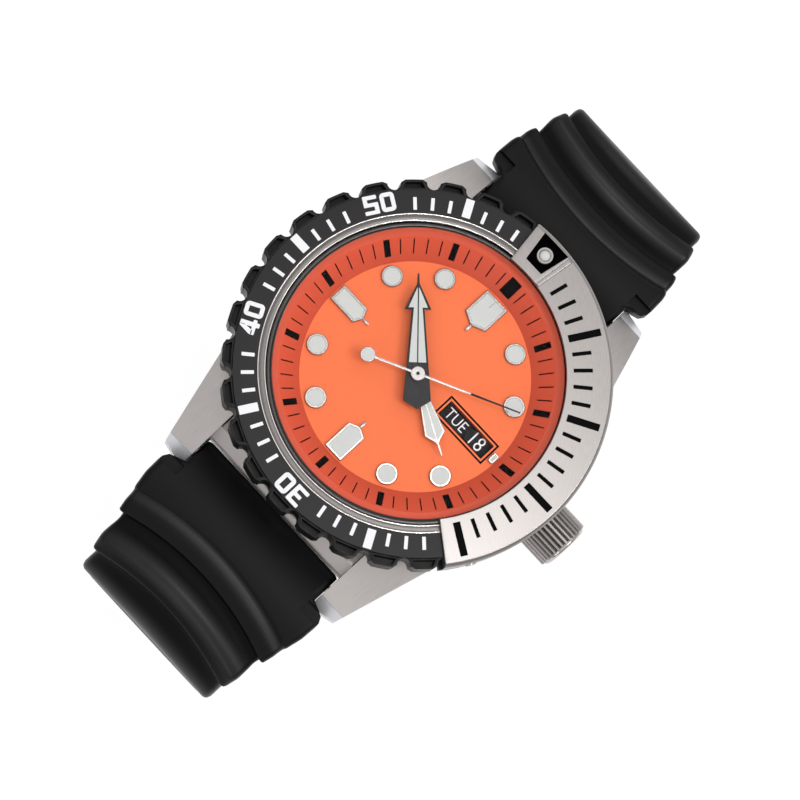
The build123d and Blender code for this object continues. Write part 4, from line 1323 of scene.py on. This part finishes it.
class WATCH_OT_strap(Build):
    """Rubber strap halves with their raised bands, and the two keepers"""

    bl_idname = "watch.strap"
    bl_label = "Strap"

    def make(self, sizes, edge):
        shapes = []
        near_case = ((15.845, 45.32), (8.0, 62.0))
        for node, body, side, bends, run, crests in (
            ("strap_upper", "upper_strap", 1, ((22.0, 90.0),), 24.0, (4.95, 7.3, 12.0, 18.6, 24.0)),
            ("strap_lower", "lower_strap", -1, ((70.0, 20.0), (32.0, 70.0)), 41.5,
             (6.1, 9.1, 14.4, 22.6, 28.0)),
        ):
            half = Half(side, near_case + bends, run, crests, sizes.band_bow / MM)
            # notches that leave room for the lugs' tips, and the slots for the tongue
            cuts = [block((3.0, 1.45, 3.0), (x, side * 26.65, 5.95)) for x in (11.95, -11.95)]
            if node == "strap_lower":
                end, middle, pitch = high(node).y - THICK, low(node).z + THICK / 2, 4.6
                cuts += [
                    block((2.2, 3.0, 2 * THICK), (0, end - pitch * number, middle))
                    for number in range(1, 8)
                ]
            slab = self.slab(half, sizes.band_depth / MM)
            shapes.append((node, body, carved(slab, joined(cuts))))
        for node, body in (("keeper_fixed", "upper_strap"), ("keeper_loose", "keeper")):
            shapes.append((node, body, softened(copied(node), 0.42, 4)))
        for node, body, bm in shapes:
            piece(bm, f"{node}_finished", "strap_rubber", body, (node,), smooth=50)

    def slab(self, half, depth):
        """Bent slab with its bands pressed in."""
        rows = half.stations()
        bm = bmesh.new()
        shade = bm.verts.layers.float.new("worn")
        bmesh.ops.create_grid(bm, x_segments=56, y_segments=len(rows) - 1, size=1)
        grown = bmesh.ops.extrude_face_region(bm, geom=bm.faces[:])
        tops = {v for v in grown["geom"] if isinstance(v, bmesh.types.BMVert)}
        roll = 0.75  # radius of the rounding along both sides
        for vert in bm.verts:
            # columns closer together towards the sides
            across = sin(vert.co.x * pi / 2) * 0.6 + vert.co.x * 0.4
            place = rows[round((vert.co.y + 1) / 2 * (len(rows) - 1))]
            fade = eased((place - 0.5) / 4) * eased((half.crests[-1] + 5 - place) / 8)
            distance = place + half.bow * across ** 2 * fade
            # both ends are half round
            over = max(-distance, distance - half.length, 0)
            thick = sqrt(max((THICK / 2) ** 2 - over ** 2, 0.0001))
            # painted sheen of the crests and painted shade of the valleys, fainter towards the
            # sides
            sunk, worn = half.valley(place)
            vert[shade] = worn * (1 - 0.5 * abs(across))
            wide = half.width(distance) - 0.45 * sunk  # valleys draw the sides in a little
            gap = wide * (1 - abs(across))
            fall = roll - sqrt(max(roll ** 2 - (roll - gap) ** 2, 0)) if gap < roll else 0.0
            fall = min(fall, thick)
            up = thick - fall - depth * sunk if vert in tops else fall * 0.6 - thick
            y, z, heading = half.at(distance)
            vert.co = (
                across * wide, half.side * (y - up * sin(heading)), z + up * cos(heading)
            )
        return cleaned(bm)


class WATCH_OT_buckle(Build):
    """Steel buckle frame and tongue"""

    bl_idname = "watch.buckle"
    bl_label = "Buckle"

    def make(self, sizes, edge):
        for node, body, finish, width in (
            ("buckle_frame", "buckle", "case_metal", 0.3),
            ("buckle_tongue", "tongue", "polished_metal", 0.18),
        ):
            bm = softened(copied(node), width, 3)
            piece(bm, f"{node}_finished", finish, body, (node,), smooth=40)


# ------------------------------------------------------------------ nodes kept from the frame
KEPT = {
    "arbor_steel": (
        "crown_tube", "winding_stem", "rotor_bearing", "escape_wheel", "cannon_pinion",
        "barrel_arbor", "ratchet_wheel", "pallet_fork",
    ),
    "gasket_rubber": ("crown_gasket",),
    "spring_steel": ("bezel_click_spring", "hairspring", "mainspring"),
    "polished_metal": ("spring_bars", "buckle_bar"),
    "holder_plastic": ("movement_ring",),
    "plate_nickel": ("main_plate",),
    "bridge_nickel": ("train_bridge", "barrel_bridge", "balance_cock", "pallet_bridge"),
    "wheel_brass": (
        "centre_wheel", "third_wheel", "fourth_wheel", "hour_wheel", "minute_wheel", "barrel",
        "balance_wheel",
    ),
    "rotor_metal": ("rotor",),
    "disc_black": ("day_disc", "date_disc"),
}


class WATCH_OT_movement(Build):
    """Finishes of the movement and the other nodes kept as they are"""

    bl_idname = "watch.movement"
    bl_label = "Movement finishes"

    def make(self, sizes, edge):
        for finish, nodes in KEPT.items():
            for node in nodes:
                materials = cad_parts[node].data.materials
                if not materials:
                    materials.append(None)
                for index in range(len(materials)):
                    materials[index] = made(finish)


# ------------------------------------------------------------------ stage
# name, place, size and power; each lamp looks at the origin
LAMPS = (
    ("key", (0.42, 0.18, 0.62), 0.3, 1.5),
    ("softbox", (0.042, 0.066, 0.6), 0.03, 0.26),
    ("upper", (-0.1, 0.55, 0.42), 0.25, 0.3),
    ("lower", (0.1, -0.6, 0.36), 0.25, 0.3),
)
CAMERA_PLACE = (0.007590, -0.061197, 0.290252)
CAMERA_TURN = (8.9981, -7.597, 46.5524)
FOCAL_LENGTH = 112.86


class WATCH_OT_stage(Build):
    """Pale floor, soft light and the camera"""

    bl_idname = "watch.stage"
    bl_label = "Stage"

    def make(self, sizes, edge):
        scene = bpy.context.scene
        scene.view_settings.view_transform = "Standard"

        bm = bmesh.new()
        bmesh.ops.create_grid(
            bm, x_segments=1, y_segments=1, size=3.0,
            matrix=Matrix.Translation((0, 0, cad_low.z)),
        )
        mesh = bpy.data.meshes.new("floor")
        bm.to_mesh(mesh)
        bm.free()
        finish = Finish("floor_white", (0.86, 0.86, 0.86), 0.9)
        finish.mottled(finish.noise(40), 0.98, 1.0)
        camera_ray, glossy_ray, clear_ray = (
            finish.node("ShaderNodeLightPath", output=f"Is {kind} Ray")
            for kind in ("Camera", "Glossy", "Transmission")
        )
        glow = finish.node("ShaderNodeEmission", sockets={"Color": (1, 1, 1, 1), "Strength": 1.05})
        finish.blend((camera_ray + glossy_ray + clear_ray > 0.5) * 0.9, glow)
        mesh.materials.append(finish.material)
        linked("floor", mesh)

        world = bpy.data.worlds.new("studio")
        world.use_nodes = True
        sky = Nodes(world.node_tree)
        direction = sky.node("ShaderNodeTexCoord", output="Generated")
        height = sky.node("ShaderNodeSeparateXYZ", sockets={"Vector": direction}, output="Z")
        strength = sky.node(
            "ShaderNodeMapRange", {"interpolation_type": "SMOOTHSTEP"},
            {"Value": height, "From Min": 0.0, "From Max": 0.95, "To Min": 0.32, "To Max": 0.84},
        )
        background = sky.tree.nodes["Background"]
        feed(sky.tree, background.inputs["Strength"], strength)
        feed(sky.tree, background.inputs["Color"], (1, 1, 1, 1))
        scene.world = world

        for name, place, size, energy in LAMPS:
            lamp = bpy.data.lights.new(name, "AREA")
            lamp.shape = "SQUARE"
            lamp.size = size
            lamp.energy = energy
            light = linked(name, lamp)
            light.location = place
            light.rotation_euler = Vector(place).to_track_quat("Z", "Y").to_euler()

        lens = bpy.data.cameras.new("camera")
        lens.lens = FOCAL_LENGTH
        lens.sensor_width = 36.0
        lens.clip_start = 0.01
        camera = linked("camera", lens)
        camera.location = CAMERA_PLACE
        camera.rotation_euler = [radians(angle) for angle in CAMERA_TURN]
        scene.camera = camera


# ------------------------------------------------------------------ sidebar and running
OPERATORS = (
    WATCH_OT_case, WATCH_OT_crystal, WATCH_OT_dial, WATCH_OT_calendar, WATCH_OT_markers,
    WATCH_OT_hands, WATCH_OT_bezel, WATCH_OT_sector, WATCH_OT_crown, WATCH_OT_strap,
    WATCH_OT_buckle, WATCH_OT_movement, WATCH_OT_stage,
)


class WATCH_PT_pieces(bpy.types.Panel):
    """Lists the pieces of the watch"""

    bl_idname = "WATCH_PT_pieces"
    bl_label = "Dive Watch"
    bl_space_type = "VIEW_3D"
    bl_region_type = "UI"
    bl_category = "Watch"

    def draw(self, context):
        for group in (context.scene.watch_sizes, context.scene.watch_colours):
            column = self.layout.column(align=True)
            for name in group.__annotations__:
                column.prop(group, name)
        column = self.layout.column(align=True)
        for operator in OPERATORS:
            column.operator(operator.bl_idname)


CLASSES = (WatchSizes, WatchColours, *OPERATORS, WATCH_PT_pieces)


def register():
    for cls in CLASSES:
        bpy.utils.register_class(cls)
    bpy.types.Scene.watch_sizes = PointerProperty(type=WatchSizes)
    bpy.types.Scene.watch_colours = PointerProperty(type=WatchColours)


def unregister():
    del bpy.types.Scene.watch_colours
    del bpy.types.Scene.watch_sizes
    for cls in reversed(CLASSES):
        bpy.utils.unregister_class(cls)


def main():
    """Build the whole watch."""
    register()
    for operator in OPERATORS:
        module, name = operator.bl_idname.split(".")
        getattr(getattr(bpy.ops, module), name)()


if __name__ == "__main__":
    main()
